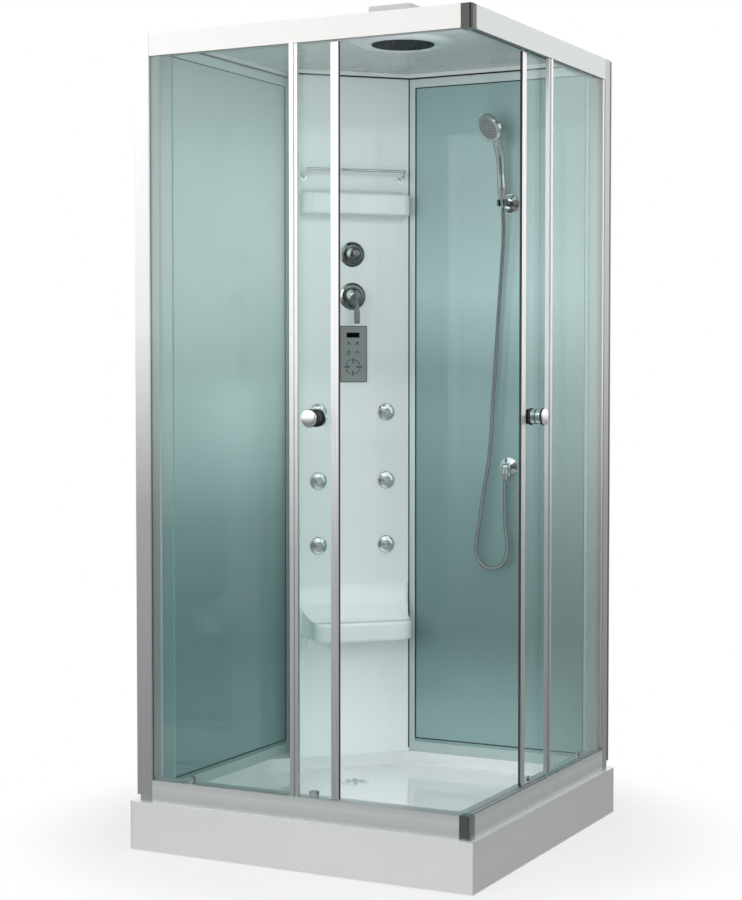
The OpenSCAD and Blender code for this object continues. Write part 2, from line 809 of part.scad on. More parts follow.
// Brass and pipes behind the column, the pipe over the roof and the one behind the right wall
module valve_pipes() {
    branch_rise = 60;
    branch_z = jet_z[2] + branch_rise;
    spray_fall = 60;
    spray_z = diverter_z - spray_fall;
    supply_drop = 130;
    supply_z = mixer_z - supply_drop;
    supply_w = 62;
    supply_u = 40;
    side_y = wall_out + pipe_r + 0.6;
    spray_drop = plan(mid_u + 60, 96);
    module fitting(u, z, r, l) {
        at_face(u, z, -skin) rotate([-90, 0, 0]) cylinder(r = r, h = l);
    }
    function up(u, w, z) = concat(plan(u, w), [z]);
    color([0.72, 0.6, 0.35]) difference() {
        union() {
            fitting(mid_u, diverter_z, 20, 44);
            fitting(mid_u, mixer_z, 20, 44);
            for (x = [-1, 1]) {
                pipe([up(mid_u + x * jet_u, riser_w, jet_z[0]), up(mid_u + x * jet_u, riser_w, branch_z),
                      up(mid_u, riser_w, branch_z)], pipe_r);
                for (z = jet_z) {
                    fitting(mid_u + x * jet_u, z, jet_r - 5, 3);
                    fitting(mid_u + x * jet_u, z, 13, 40);
                }
            }
            translate(up(mid_u, riser_w, branch_z)) sphere(pipe_r + 0.6);
            pipe([up(mid_u, riser_w, branch_z), up(mid_u, riser_w, pipe_z),
                  [rain_x, rain_y, pipe_z], [rain_x, rain_y, roof_top + 1.5]], pipe_r);
            translate([rain_x, rain_y, roof_top]) cylinder(r = 16, h = pipe_z - roof_top - 6);
            pipe([up(mid_u, riser_w, spray_z), concat(spray_drop, [spray_z]),
                  concat(spray_drop, [outlet_z]), [spray_drop[0], side_y, outlet_z],
                  [wall_x, side_y, outlet_z], [wall_x, glass_in + pane_t, outlet_z]], pipe_r);
            for (x = [-1, 1]) {
                pipe([up(mid_u + x * 8, riser_w, mixer_z), up(mid_u + x * supply_u, supply_w, mixer_z),
                      up(mid_u + x * supply_u, supply_w, supply_z),
                      up(mid_u + x * supply_u, supply_w + 30, supply_z)], pipe_r);
                at_face(mid_u + x * supply_u, supply_z, -supply_w - 22) rotate([-90, 0, 0])
                    cylinder(r = 10.5, h = 22);
            }
        }
        at_face(mid_u, mixer_z, 1 - skin) rotate([-90, 0, 0])
            cylinder(r = mixer_shaft_r + axle_gap, h = shaft_in + 2);
        at_face(mid_u, diverter_z, 1 - skin) rotate([-90, 0, 0])
            cylinder(r = shaft_r + axle_gap, h = shaft_in + 2);
        for (x = [-1, 1], z = jet_z) at_face(mid_u + x * jet_u, z, 1 - skin) rotate([-90, 0, 0])
            cylinder(r = ball_r - 2, h = 10);
    }
}

// Ceiling

module roof() {
    h = face - roof_inset;
    rear = (wall_out + left_wall_end) + 6;
    color("white") difference() {
        translate([0, 0, frame_top]) linear_extrude(roof_t) polygon([
            [-h, -h], [h, -h], [h, h], [h - rear, h], [-h, rear - h]
        ]);
        translate([rain_x, rain_y, frame_top - 1]) cylinder(r = 12, h = roof_t + 2);
        translate(concat(plan(mid_u, riser_w), [frame_top - 1])) cylinder(r = pipe_r + 1, h = roof_t + 2);
    }
}

module rain_ring() {
    r0 = rain_r + 1;
    color([0.78, 0.8, 0.82]) translate([rain_x, rain_y, frame_top]) mirror([0, 0, 1])
        rotate_extrude($fn = 96) polygon(concat(
            [[r0, 0], [r0, ring_h - 3]],
            [for (i = [0 : 8]) let(t = i / 8) [
                r0 + 4 + (ring_r - r0 - 4) * t,
                (ring_h - 2) + 2 * sin(180 * min(1, t * 1.6)) * (t < 0.62 ? 1 : 0) - (t > 0.62 ? (t - 0.62) / 0.38 * (ring_h - 2) : 0)
            ]]
        ));
}

// Rubber nozzles on rings of 6, 12, 18 and 24
module rain_head() {
    rings = 4;
    color([0.2, 0.22, 0.24]) translate([rain_x, rain_y, rain_z]) {
        difference() {
            cylinder(r = rain_r, h = frame_top - rain_z);
            for (k = [1 : rings], i = [0 : 6 * k - 1]) rotate([0, 0, i * 60 / k])
                translate([k * (rain_r - 12) / rings, 0, -1]) cylinder(r = 3, h = 2.2, $fn = 16);
        }
        translate([0, 0, frame_top - rain_z - e]) cylinder(r = 11.5, h = roof_t + e);
    }
}

module control_box() {
    wall = 4;
    edge = face - roof_inset;
    color("white") translate([edge - box_at[0] - box_size[0], box_at[1] - edge, roof_top]) difference() {
        cube(box_size);
        translate([wall, wall, -1])
            cube([box_size[0] - 2 * wall, box_size[1] - 2 * wall, box_size[2] + 1 - wall]);
    }
}

// Fittings on the column

module towel_rail() {
    rise = 22;
    foot_h = 4;
    color("silver") {
        rotate([0, 0, 45]) for (x = [-1, 1]) translate([mid_u + x * towel_half, face_k, towel_z]) {
            rotate([90, 0, 0]) translate([0, 0, -skin - 4]) cylinder(r = towel_r, h = skin + 6);
            rotate([90, 0, 0]) cylinder(r = towel_r + 4, h = foot_h);
            translate([0, -foot_h, 0]) sphere(towel_r + 1);
            rod([0, -foot_h, 0], [0, -towel_off, rise], towel_r);
            translate([0, -towel_off, rise]) sphere(towel_r + 0.5);
        }
        at_face(mid_u, towel_z + rise, towel_off)
            rod([-towel_half, 0, 0], [towel_half, 0, 0], towel_r);
    }
}

module diverter_plate() {
    color("silver") out_of_face(mid_u, diverter_z) rotate_extrude() polygon([
        [shaft_r + 0.4, 0], [37, 0], [37, 2], [34, 5.5], [28, 8], [22.6, 9], [22.6, 5], [shaft_r + 0.4, 5]
    ]);
}

// Turning cap with finger grips, on a shaft that reaches the valve
module diverter_knob() {
    color("silver") out_of_face(mid_u, diverter_z) {
        difference() {
            rotate_extrude() polygon([
                [0, 5.4], [22, 5.4], [22, 20], [20, 27], [15, 31], [0, 32.5]
            ]);
            for (i = [0 : 7]) rotate([0, 0, i * 45]) translate([24.5, 0, 12])
                cylinder(r = 4, h = 30);
        }
        translate([0, 0, -skin - shaft_in]) cylinder(r = shaft_r, h = skin + shaft_in + 6);
    }
}

module mixer_plate() {
    color("silver") out_of_face(mid_u, mixer_z) rotate_extrude() polygon([
        [dome_r + 0.8, 0], [40, 0], [40, 2], [38, 5], [33, 8], [dome_r + 0.8, 9]
    ]);
}

// Ball of the mixer, cut flat at the column, on its shaft
module mixer_dome() {
    color("silver") out_of_face(mid_u, mixer_z) {
        intersection() {
            translate([0, 0, dome_v]) sphere(dome_r);
            translate([0, 0, 0.5]) cylinder(r = dome_r + 1, h = 2 * dome_r + dome_v);
        }
        translate([0, 0, -skin - shaft_in]) cylinder(r = mixer_shaft_r, h = skin + shaft_in + 4);
    }
}

// Cap hugging the ball with a flat handle that hangs down
module mixer_lever() {
    w = 15;
    color("silver") out_of_face(mid_u, mixer_z) translate([0, 0, dome_v]) {
        difference() {
            union() {
                intersection() {
                    sphere(lever_out);
                    rotate([20, 0, 0]) cylinder(r1 = 4, r2 = 24, h = lever_out + 2);
                }
                hull() {
                    translate([0, 16, lever_out - 6]) rotate([90, 0, 0]) cylinder(r = 5, h = 4, $fn = 24);
                    translate([0, -22, lever_out - 4]) rotate([90, 0, 0])
                        cylinder(r = 5.5, h = 4, $fn = 24);
                }
                hull() {
                    translate([-w / 2 + 1, -lever_l, lever_out - 5]) cube([w - 2, 4, 5]);
                    translate([-w / 2 - 0.5, -lever_l + 3, lever_out - 6]) cube([w + 1, 30, 7]);
                    translate([0, -24, lever_out - 4]) rotate([90, 0, 0])
                        cylinder(r = 5.5, h = 4, $fn = 24);
                }
            }
            sphere(lever_in);
        }
    }
}

module keypad() {
    t = 5;
    color([0.6, 0.62, 0.63]) out_of_face(mid_u + 2, keypad_z) difference() {
        union() {
            linear_extrude(t) round_rect(keypad_w, keypad_h, 4);
            translate([0, 0, t - e]) linear_extrude(0.8) round_rect(keypad_w - 4, keypad_h - 4, 3);
        }
        translate([0, keypad_h * 0.335, t]) linear_extrude(3) square([40, 14], center = true);
    }
}

module bezel() {
    difference() {
        rotate_extrude() polygon([
            [9, 0], [jet_r, 0], [jet_r, 2], [jet_r - 3, 6], [jet_r - 8, 8.5], [ball_r - 1, 9.5], [9, 9.5]
        ]);
        translate([0, 0, ball_v]) sphere(seat_r);
        translate([0, 0, -1]) cylinder(r = ball_r - 1, h = 3);
    }
}

module jet_bezels() {
    color("silver") for (x = [-1, 1], z = jet_z) out_of_face(mid_u + x * jet_u, z) bezel();
}

// Ball with a flat spout face and its holes, and a stub into the pipe behind
module jet_nozzle(u, z) {
    color([0.85, 0.86, 0.87]) out_of_face(u, z) difference() {
        intersection() {
            translate([0, 0, ball_v]) sphere(ball_r);
            translate([0, 0, -ball_r]) cylinder(r = ball_r + 1, h = ball_v + 2 * ball_r - 2);
        }
        for (i = [0 : 4]) rotate([0, 0, i * 72]) translate([4.5, 0, 6]) cylinder(r = 1.3, h = 20);
        translate([0, 0, 6]) cylinder(r = 1.3, h = 20);
        translate([0, 0, -ball_r]) cylinder(r = 4, h = 12);
    }
}

module jet_nozzle_1() {
    jet_nozzle(mid_u - jet_u, jet_z[0]);
}

module jet_nozzle_2() {
    jet_nozzle(mid_u - jet_u, jet_z[1]);
}

module jet_nozzle_3() {
    jet_nozzle(mid_u - jet_u, jet_z[2]);
}

module jet_nozzle_4() {
    jet_nozzle(mid_u + jet_u, jet_z[0]);
}

module jet_nozzle_5() {
    jet_nozzle(mid_u + jet_u, jet_z[1]);
}

module jet_nozzle_6() {
    jet_nozzle(mid_u + jet_u, jet_z[2]);
}

// Hand shower

// Radius of the handset's conical nut at h
function nut_r(h) = 8.6 + (h - nut_low) * 0.09;

module handset_holder() {
    ring_h2 = 9;
    gap = run_gap + 0.1;
    color("silver") difference() {
        union() {
            translate([wall_x, glass_in, holder_z]) rotate([90, 0, 0]) {
                cylinder(r = plate_r, h = 3);
                translate([0, 0, 3 - e]) cylinder(r1 = plate_r - 1, r2 = 14, h = 5);
                cylinder(r = 9, h = holder_off - 12);
            }
            at_handset() translate([0, 0, -ring_h2]) cylinder(r = 16, h = 2 * ring_h2);
        }
        at_handset() {
            translate([0, 0, 2 * nut_low]) cylinder(
                r1 = nut_r(2 * nut_low) + gap, r2 = nut_r(ring_h2 + 1) + gap, h = ring_h2 + 1 - 2 * nut_low);
            box(-hose_r - 1, hose_r + 1, -20, 0, -ring_h2 - 1, ring_h2 + 1);
        }
    }
}

module handset_nut() {
    color("silver") at_handset() difference() {
        translate([0, 0, nut_low]) cylinder(r1 = nut_r(nut_low), r2 = nut_r(nut_high), h = nut_high - nut_low);
        translate([0, 0, nut_low - 1]) cylinder(r = hose_bore, h = nut_high - nut_low + 2);
    }
}

// Frame of the handset's head, with +Z out of its spray face
module at_head() {
    translate(head_at) rotate([0, 0, -head_turn]) rotate([90 + head_tilt, 0, 0]) children();
}

// Waisted handle, a bent neck and a round head that looks down and to the left
module handset() {
    waist = [[0, 12.4], [0.1, 12.8], [0.45, 11.2], [0.8, 11.8], [1, 12.4]];
    top = nut_high + handle_l;
    face_t = 9;
    module neck_ring(q, tip, r) {
        translate(q) rotate([tip, 0, 0]) cylinder(r = r, h = 4, $fn = 32);
    }
    color("silver") difference() {
        at_handset() union() {
            translate([0, 0, nut_high]) rotate_extrude() polygon(concat(
                [[0, 0]], [for (q = waist) [q[1], q[0] * handle_l]], [[0, handle_l]]
            ));
            hull() {
                neck_ring([0, 0, top - 7], 0, 11.6);
                neck_ring([-2, -5, top + 22], 14, 13);
            }
            hull() {
                neck_ring([-1.5, -4, top + 17], 10, 12);
                at_head() translate([0, -12, -15]) cylinder(r = 20, h = 4, $fn = 32);
            }
            at_head() {
                cylinder(r = head_r, h = face_t);
                translate([0, 0, face_t - e]) cylinder(r1 = head_r - 1, r2 = head_r - 4, h = 2.5);
                translate([0, 0, -16]) cylinder(r1 = head_r * 0.5, r2 = head_r - 0.5, h = 16 + e);
            }
        }
        at_handset() at_head() {
            translate([0, 0, face_t + 1.5]) cylinder(r = head_r - 9, h = 3);
            for (k = [1 : 3], i = [0 : 6 * k - 1])
                rotate([0, 0, i * 60 / k]) translate([k * (head_r - 14) / 3, 0, face_t])
                    cylinder(r = 1.8, h = 4, $fn = 16);
        }
        at_handset() translate([0, 0, nut_high - 1]) cylinder(r = hose_bore, h = 60);
    }
}

module wall_outlet() {
    out_y = glass_in - outlet_off;
    color("silver") difference() {
        union() {
            translate([wall_x, glass_in, outlet_z]) rotate([90, 0, 0]) {
                cylinder(r = plate_r - 0.5, h = 3);
                translate([0, 0, 3 - e]) cylinder(r1 = plate_r - 2, r2 = 13, h = 5);
                translate([0, 0, -pane_t]) cylinder(r = pipe_r, h = pane_t + 4);
                cylinder(r = 10, h = outlet_off);
            }
            translate([wall_x, out_y, outlet_z]) sphere(10.5);
            translate([wall_x, out_y, outlet_z - 18]) cylinder(r = 9, h = 18);
        }
        translate([wall_x, out_y, outlet_z - 19]) cylinder(r = hose_bore, h = 19);
        translate([wall_x, glass_in + pane_t + 1, outlet_z]) rotate([90, 0, 0])
            cylinder(r = hose_bore, h = pane_t + outlet_off + 1);
    }
}

module outlet_nut() {
    color("silver") translate([wall_x, glass_in - outlet_off, outlet_z - nut_drop]) difference() {
        cylinder(r1 = 8, r2 = 10, h = nut_drop - 18);
        translate([0, 0, -1]) cylinder(r = hose_bore, h = nut_drop);
    }
}

// Ribbed hose with its bore, on one smooth curve through its points

// The hose stops just short of the nut that lifts away with the handset
hose_a = on_handset(nut_low - hose_seat);
hose_b = [wall_x, glass_in - outlet_off, outlet_z - nut_drop];
hose_points = concat(
    [hose_a, on_handset(nut_low - 2 * hose_r), on_handset(nut_low - 4 * hose_r)],
    [for (q = hose_mid) [wall_x + q[0], glass_in - q[1], outlet_z + q[2] * (q[2] > 0 ? hose_rise : 1)]],
    [hose_b - [0, 0, 4 * hose_r], hose_b - [0, 0, 2 * hose_r], hose_b]
);

// Smooth curve through four neighbours, at t from 0 to 1 between b and c
function curve(a, b, c, d, t) =
    0.5 * (2 * b + (c - a) * t + (2 * a - 5 * b + 4 * c - d) * t * t
    + (3 * b - a - 3 * c + d) * t * t * t);

function hose_at(k) = let(
    n = len(hose_points) - 1,
    i = min(floor(k), n - 1),
    p = hose_points
) curve(p[max(i - 1, 0)], p[i], p[i + 1], p[min(i + 2, n)], k - i);

hose_steps = 8;
hose_line = [for (j = [0 : hose_steps * (len(hose_points) - 1)]) hose_at(j / hose_steps)];
hose_sum = [for (j = 0, s = 0; j < len(hose_line);
    s = s + (j + 1 < len(hose_line) ? norm(hose_line[j + 1] - hose_line[j]) : 0), j = j + 1) s];
hose_length = hose_sum[len(hose_sum) - 1];
echo(hose_length_mm = hose_length);

// The last stretch that starts at or before s
function stretch(s, lo, hi) = hi - lo <= 1 ? lo : let(m = floor((lo + hi) / 2))
    hose_sum[m] <= s ? stretch(s, m, hi) : stretch(s, lo, m);

function along(s) = let(
    j = stretch(s, 0, len(hose_sum) - 1),
    f = (s - hose_sum[j]) / (hose_sum[j + 1] - hose_sum[j])
) hose_line[j] + f * (hose_line[j + 1] - hose_line[j]);

function heading(s) = let(
    a = along(max(s - 2, 0)),
    b = along(min(s + 2, hose_length - 0.001))
) (b - a) / norm(b - a);

function hose_ring(s, r, sides, flip) = let(
    c = along(s),
    t = heading(s),
    n1 = cross(t, [0, 1, 0]) / norm(cross(t, [0, 1, 0])),
    n2 = cross(t, n1)
) [for (i = [0 : sides - 1]) let(a = flip * 360 * i / sides) c + r * (cos(a) * n1 + sin(a) * n2)];

function tube_faces(first, rings, sides) = [
    for (j = [0 : rings - 2], i = [0 : sides - 1]) let(
        a = first + j * sides + i,
        b = first + j * sides + (i + 1) % sides,
        c = b + sides,
        d = a + sides
    ) each [[a, b, c], [a, c, d]]
];

module hose() {
    crest = hose_r;
    valley = hose_r - 0.9;
    plain = 2 * hose_r;
    pitch = (hose_length - 2 * plain) / hose_ribs;
    last = hose_length - 0.001;
    outer_s = concat(
        [0],
        [for (i = [0 : 2 * hose_ribs]) plain + i * pitch / 2],
        [last]
    );
    outer_r = concat([valley], [for (i = [0 : 2 * hose_ribs]) i % 2 == 0 ? valley : crest], [valley]);
    inner_count = 70;
    inner_s = [for (i = [0 : inner_count]) last * i / inner_count];
    outer = [for (j = [0 : len(outer_s) - 1]) each hose_ring(outer_s[j], outer_r[j], hose_sides, 1)];
    inner = [for (q = inner_s) each hose_ring(q, hose_bore - 0.4, hose_sides, 1)];
    n_out = len(outer);
    end_out = n_out - hose_sides;
    end_in = n_out + len(inner) - hose_sides;
    side_faces = tube_faces(0, len(outer_s), hose_sides);
    bore_faces = [for (f = tube_faces(n_out, len(inner_s), hose_sides)) [f[2], f[1], f[0]]];
    start_faces = [for (i = [0 : hose_sides - 1]) let(j = (i + 1) % hose_sides)
        each [[i, n_out + i, n_out + j], [i, n_out + j, j]]];
    end_faces = [for (i = [0 : hose_sides - 1]) let(j = (i + 1) % hose_sides)
        each [[end_out + i, end_out + j, end_in + j], [end_out + i, end_in + j, end_in + i]]];
    color([0.75, 0.76, 0.78]) polyhedron(
        points = concat(outer, inner),
        faces = concat(side_faces, bore_faces, start_faces, end_faces)
    );
}

// Doors, drawn in (x, p, z) with the leading edge at x = lead

module door_glass(lead) {
    trail = lead - door_w;
    color([0.75, 0.9, 0.87, 0.4]) difference() {
        box(trail, lead - lead_w + 4, door_p, door_p + pane_t, pane_low, pane_high);
        translate([lead - knob_back, door_p - 1, knob_z]) rotate([-90, 0, 0])
            cylinder(r = knob_bolt_r + slot_gap, h = pane_t + 2);
        for (x = [lead - guide_front, trail + guide_rear])
            translate([x, door_p - 1, hanger_bolt_z]) rotate([-90, 0, 0])
                cylinder(r = bolt_r + slot_gap, h = pane_t + 2);
    }
}

// Profile with a mitred leading side, so that the two doors meet at the entry corner
module door_edge(lead) {
    x0 = lead - seal_w - lead_w;
    x1 = lead - seal_w;
    depth = profile_p1 - profile_p0;
    color([0.8, 0.81, 0.81]) difference() {
        translate([0, 0, door_low]) linear_extrude(door_high - door_low) polygon([
            [x0, profile_p0], [x1, profile_p0], [x1 - depth, profile_p1], [x0, profile_p1]
        ]);
        box(x0 - 1, lead - lead_w + 4 + e, door_p - slot_gap / 2, door_p + pane_t + slot_gap / 2,
            door_low - 1, door_high + 1);
    }
}

module door_seal(lead) {
    x1 = lead - seal_w;
    q = 12;
    color([0.1, 0.1, 0.11]) translate([0, 0, door_low]) linear_extrude(door_high - door_low) polygon([
        [x1, profile_p0], [lead, profile_p0], [lead - q, profile_p0 + q], [x1 - q, profile_p0 + q]
    ]);
}

// Neck and cap of one knob, standing on the pane
module knob(l) {
    neck_r = knob_r - 5;
    rotate_extrude() polygon([
        [0, 0], [13, 0], [13, 3], [neck_r, 3.5], [neck_r, l - 15], [knob_r, l - 13],
        [knob_r, l - 3], [knob_r - 2.5, l], [0, l]
    ]);
}

// Knobs on both sides of the pane, on one through bolt
module door_knob(lead) {
    color("silver") translate([lead - knob_back, 0, knob_z]) {
        translate([0, door_p, 0]) rotate([90, 0, 0]) knob(knob_l);
        translate([0, door_p + pane_t, 0]) rotate([-90, 0, 0]) knob(knob_in);
        translate([0, door_p - 1, 0]) rotate([-90, 0, 0])
            cylinder(r = knob_bolt_r, h = pane_t + 2);
    }
}

// Hanger: plate clamped to the pane by a bolt, with the roller's axle and its end clip
module hanger(x) {
    plate_w = 36;
    boss_p = track_p - roller_w / 2 - run_gap;
    clip_p = track_p + roller_w / 2 + run_gap;
    translate([x, 0, 0]) {
        box(-plate_w / 2, plate_w / 2, plate_p, plate_p + hanger_t, head_z + 3, roller_z + 12);
        translate([0, door_p - 3, hanger_bolt_z]) rotate([-90, 0, 0]) cylinder(r = bolt_r + 2, h = 3);
        translate([0, door_p - 1, hanger_bolt_z]) rotate([-90, 0, 0])
            cylinder(r = bolt_r, h = pane_t + 2);
        translate([0, plate_p, roller_z]) rotate([-90, 0, 0])
            cylinder(r = axle_r, h = clip_p + clip_t - plate_p);
        translate([0, plate_p, roller_z]) rotate([-90, 0, 0])
            cylinder(r = axle_r + 3, h = boss_p - plate_p);
        translate([0, clip_p, roller_z]) rotate([-90, 0, 0]) cylinder(r = clip_r, h = clip_t);
    }
}

// Block under the pane with a tongue in the rail's groove
module guide(x) {
    w = 22;
    groove_p = door_p + pane_t / 2;
    translate([x, 0, 0]) difference() {
        union() {
            box(-w / 2, w / 2, door_p - 3.5, door_p + pane_t + 5, rail_top + 1, rail_top + 16);
            box(-w / 2 + 2, w / 2 - 2, groove_p - tongue_w / 2, groove_p + tongue_w / 2,
                rail_top - groove_depth + 2, rail_top + 2);
        }
        box(-w, w, door_p - e, door_p + pane_t + e, pane_low, rail_top + 20);
    }
}

module door_hardware(lead) {
    trail = lead - door_w;
    color([0.55, 0.56, 0.58]) for (x = [lead - guide_front, trail + guide_rear]) {
        hanger(x);
        guide(x);
    }
}

// Grooved roller on its axle
module roller(x) {
    bevel = 1;
    h = roller_w / 2;
    color("white") translate([x, track_p, roller_z]) rotate([-90, 0, 0]) rotate_extrude() polygon([
        [axle_r + axle_gap, -h], [flange_r - bevel, -h], [flange_r, -h + bevel], [flange_r, -2.6],
        [roller_r, -2], [roller_r, 2], [flange_r, 2.6], [flange_r, h - bevel],
        [flange_r - bevel, h], [axle_r + axle_gap, h]
    ]);
}

module left_door_glass() {
    left_side() door_glass(lead_left);
}

module left_door_edge() {
    left_side() door_edge(lead_left);
}

module left_door_seal() {
    left_side() door_seal(lead_left);
}

module left_door_knob() {
    left_side() door_knob(lead_left);
}

module left_door_hardware() {
    left_side() door_hardware(lead_left);
}

module left_roller_front() {
    left_side() roller(lead_left - guide_front);
}

module left_roller_rear() {
    left_side() roller(lead_left - door_w + guide_rear);
}

module right_door_glass() {
    right_side() door_glass(lead_right);
}

module right_door_edge() {
    right_side() door_edge(lead_right);
}

module right_door_seal() {
    right_side() door_seal(lead_right);
}

module right_door_knob() {
    right_side() door_knob(lead_right);
}

module right_door_hardware() {
    right_side() door_hardware(lead_right);
}

module right_roller_front() {
    right_side() roller(lead_right - guide_front);
}

module right_roller_rear() {
    right_side() roller(lead_right - door_w + guide_rear);
}

tray();
tray_frame();
feet();
drain_trap();
drain_grid();
bottom_rail_left();
bottom_rail_right();
top_rail_left();
top_rail_right();
corner_caps();
post_left();
post_right();
fixed_glass_left();
fixed_glass_right();
fixed_edge_left();
fixed_edge_right();
back_frame_left();
back_frame_right();
back_glass_left();
back_glass_right();
column();
valve_pipes();
roof();
rain_ring();
rain_head();
control_box();
towel_rail();
diverter_plate();
diverter_knob();
mixer_plate();
mixer_dome();
mixer_lever();
keypad();
jet_bezels();
jet_nozzle_1();
jet_nozzle_2();
jet_nozzle_3();
jet_nozzle_4();
jet_nozzle_5();
jet_nozzle_6();
handset_holder();
handset();
handset_nut();
hose();
outlet_nut();
wall_outlet();
left_door_glass();
left_door_edge();
left_door_seal();
left_door_knob();
left_door_hardware();
left_roller_front();
left_roller_rear();
right_door_glass();
right_door_edge();
right_door_seal();
right_door_knob();
right_door_hardware();
right_roller_front();
right_roller_rear();
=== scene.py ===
import json
import math

import bpy
from mathutils import Matrix, Vector


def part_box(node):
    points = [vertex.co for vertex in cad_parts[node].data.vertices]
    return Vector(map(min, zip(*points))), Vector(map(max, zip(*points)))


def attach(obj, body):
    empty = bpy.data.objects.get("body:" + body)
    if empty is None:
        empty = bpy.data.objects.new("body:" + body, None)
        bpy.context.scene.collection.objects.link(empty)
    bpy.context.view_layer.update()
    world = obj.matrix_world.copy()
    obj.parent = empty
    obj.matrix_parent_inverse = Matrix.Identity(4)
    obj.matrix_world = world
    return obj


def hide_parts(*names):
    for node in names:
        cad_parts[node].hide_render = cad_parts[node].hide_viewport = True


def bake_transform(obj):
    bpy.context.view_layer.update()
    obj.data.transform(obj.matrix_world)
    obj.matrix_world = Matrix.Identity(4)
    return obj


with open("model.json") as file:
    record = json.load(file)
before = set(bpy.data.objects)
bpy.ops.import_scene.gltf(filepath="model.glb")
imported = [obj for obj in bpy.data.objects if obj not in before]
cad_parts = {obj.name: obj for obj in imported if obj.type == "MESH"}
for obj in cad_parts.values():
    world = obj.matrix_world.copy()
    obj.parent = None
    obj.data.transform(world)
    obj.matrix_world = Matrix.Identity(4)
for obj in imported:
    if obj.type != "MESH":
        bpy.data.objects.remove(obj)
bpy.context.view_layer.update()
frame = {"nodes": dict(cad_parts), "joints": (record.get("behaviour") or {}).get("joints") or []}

# Camera: the photograph's viewpoint, with its focal length in pixels of the photograph's frame

IMAGE_HEIGHT_PX = 900
FOCAL_PX = 1895.8
SENSOR_MM = 36.0
CAMERA_AT = (2.3562, -4.6485, 1.2688)
CAMERA_YAW = 0.4749
CAMERA_PITCH = 0.0411
CAMERA_CLIP = (0.05, 60)


def add_camera():
    """The scene's camera, at the photograph's place and angle."""
    data = bpy.data.cameras.new("camera")
    data.sensor_fit = "AUTO"
    data.sensor_width = SENSOR_MM
    data.lens = FOCAL_PX / IMAGE_HEIGHT_PX * SENSOR_MM
    data.clip_start, data.clip_end = CAMERA_CLIP
    camera = bpy.data.objects.new("camera", data)
    camera.location = CAMERA_AT
    camera.rotation_euler = (math.pi / 2 - CAMERA_PITCH, 0, CAMERA_YAW)
    bpy.context.collection.objects.link(camera)
    bpy.context.scene.camera = camera


add_camera()

# Places that the frame gives: walls, ceiling and the column's face in the corner

FACE = Vector((math.sqrt(0.5), -math.sqrt(0.5), 0))
ALONG = Vector((math.sqrt(0.5), math.sqrt(0.5), 0))
UP = Vector((0, 0, 1))
LEFT_FRAME_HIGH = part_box("back_frame_left")[1]
RIGHT_FRAME_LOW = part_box("back_frame_right")[0]
WALL_IN = round(RIGHT_FRAME_LOW.y, 4)
CEILING_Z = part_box("roof")[0].z
FACE_FROM_CORNER = 0.218
FACE_FROM_ORIGIN = 2 * WALL_IN * math.sqrt(0.5) - FACE_FROM_CORNER
JOINTS = {joint["name"]: joint for joint in frame["joints"]}
DIVERTER_AXIS_AT = Vector(JOINTS["diverter_turn"]["pos_m"])
MID_U = round(DIVERTER_AXIS_AT.dot(ALONG), 4)


def on_column(u, out, z):
    """A point in front of the column's face: u along it from the diagonal, out into the cabin."""
    return ALONG * u + FACE * (out - FACE_FROM_ORIGIN) + UP * z


def mesh_object(name, points, faces, smooth=True):
    """A new object from points and faces, linked to the scene."""
    mesh = bpy.data.meshes.new(name)
    mesh.from_pydata([tuple(p) for p in points], [], faces)
    mesh.validate()
    mesh.update()
    for polygon in mesh.polygons:
        polygon.use_smooth = smooth
    obj = bpy.data.objects.new(name, mesh)
    bpy.context.collection.objects.link(obj)
    return obj


def split_edges(obj, degrees):
    """Keeps edges sharper than an angle crisp on a smooth piece."""
    split = obj.modifiers.new("edges", "EDGE_SPLIT")
    split.split_angle = math.radians(degrees)


# Hose: a ribbed tube on one smooth curve through the route's points

LEAN = math.radians(8)
HOLDER = Vector((0.191, 0.390, 1.755))
HANDSET_AXIS = Vector((0, -math.sin(LEAN), math.cos(LEAN)))
NUT_LOW = -0.012
HOSE_START = HOLDER + HANDSET_AXIS * NUT_LOW
OUTLET = Vector((0.191, 0.444, 0.993))
OUTLET_END = OUTLET + Vector((0, -0.032, -0.038))
HOSE_RADIUS = 0.006
HOSE_PLAIN_END = 2 * HOSE_RADIUS
HOSE_GROOVE = 0.0017
HOSE_RIBS = 196
# One rib: share of the pitch, share of the groove's depth that is filled
RIB_SHAPE = [(0.0, 0.0), (0.12, 0.75), (0.3, 1.0), (0.62, 1.0), (0.8, 0.75), (0.92, 0.0)]
# Along the wall from the outlet, out from the glass, and up from the outlet
HOSE_ROUTE = [
    (0, 0.047, 0.707), (-0.001, 0.044, 0.678), (-0.005, 0.041, 0.621), (-0.011, 0.039, 0.546),
    (-0.018, 0.039, 0.449), (-0.025, 0.039, 0.340), (-0.034, 0.039, 0.207), (-0.040, 0.040, 0.095),
    (-0.048, 0.040, 0.014), (-0.061, 0.041, -0.060), (-0.071, 0.042, -0.128), (-0.080, 0.042, -0.184),
    (-0.084, 0.042, -0.213), (-0.086, 0.042, -0.238), (-0.083, 0.042, -0.261), (-0.072, 0.042, -0.280),
    (-0.056, 0.042, -0.292), (-0.037, 0.042, -0.296), (-0.017, 0.042, -0.291), (-0.001, 0.041, -0.278),
    (0.008, 0.040, -0.260), (0.011, 0.038, -0.237), (0.009, 0.036, -0.213), (0.003, 0.034, -0.171),
    (0, 0.032, -0.122), (0, 0.032, -0.083),
]
CURVE_STEPS = 8
TUBE_SIDES = 16


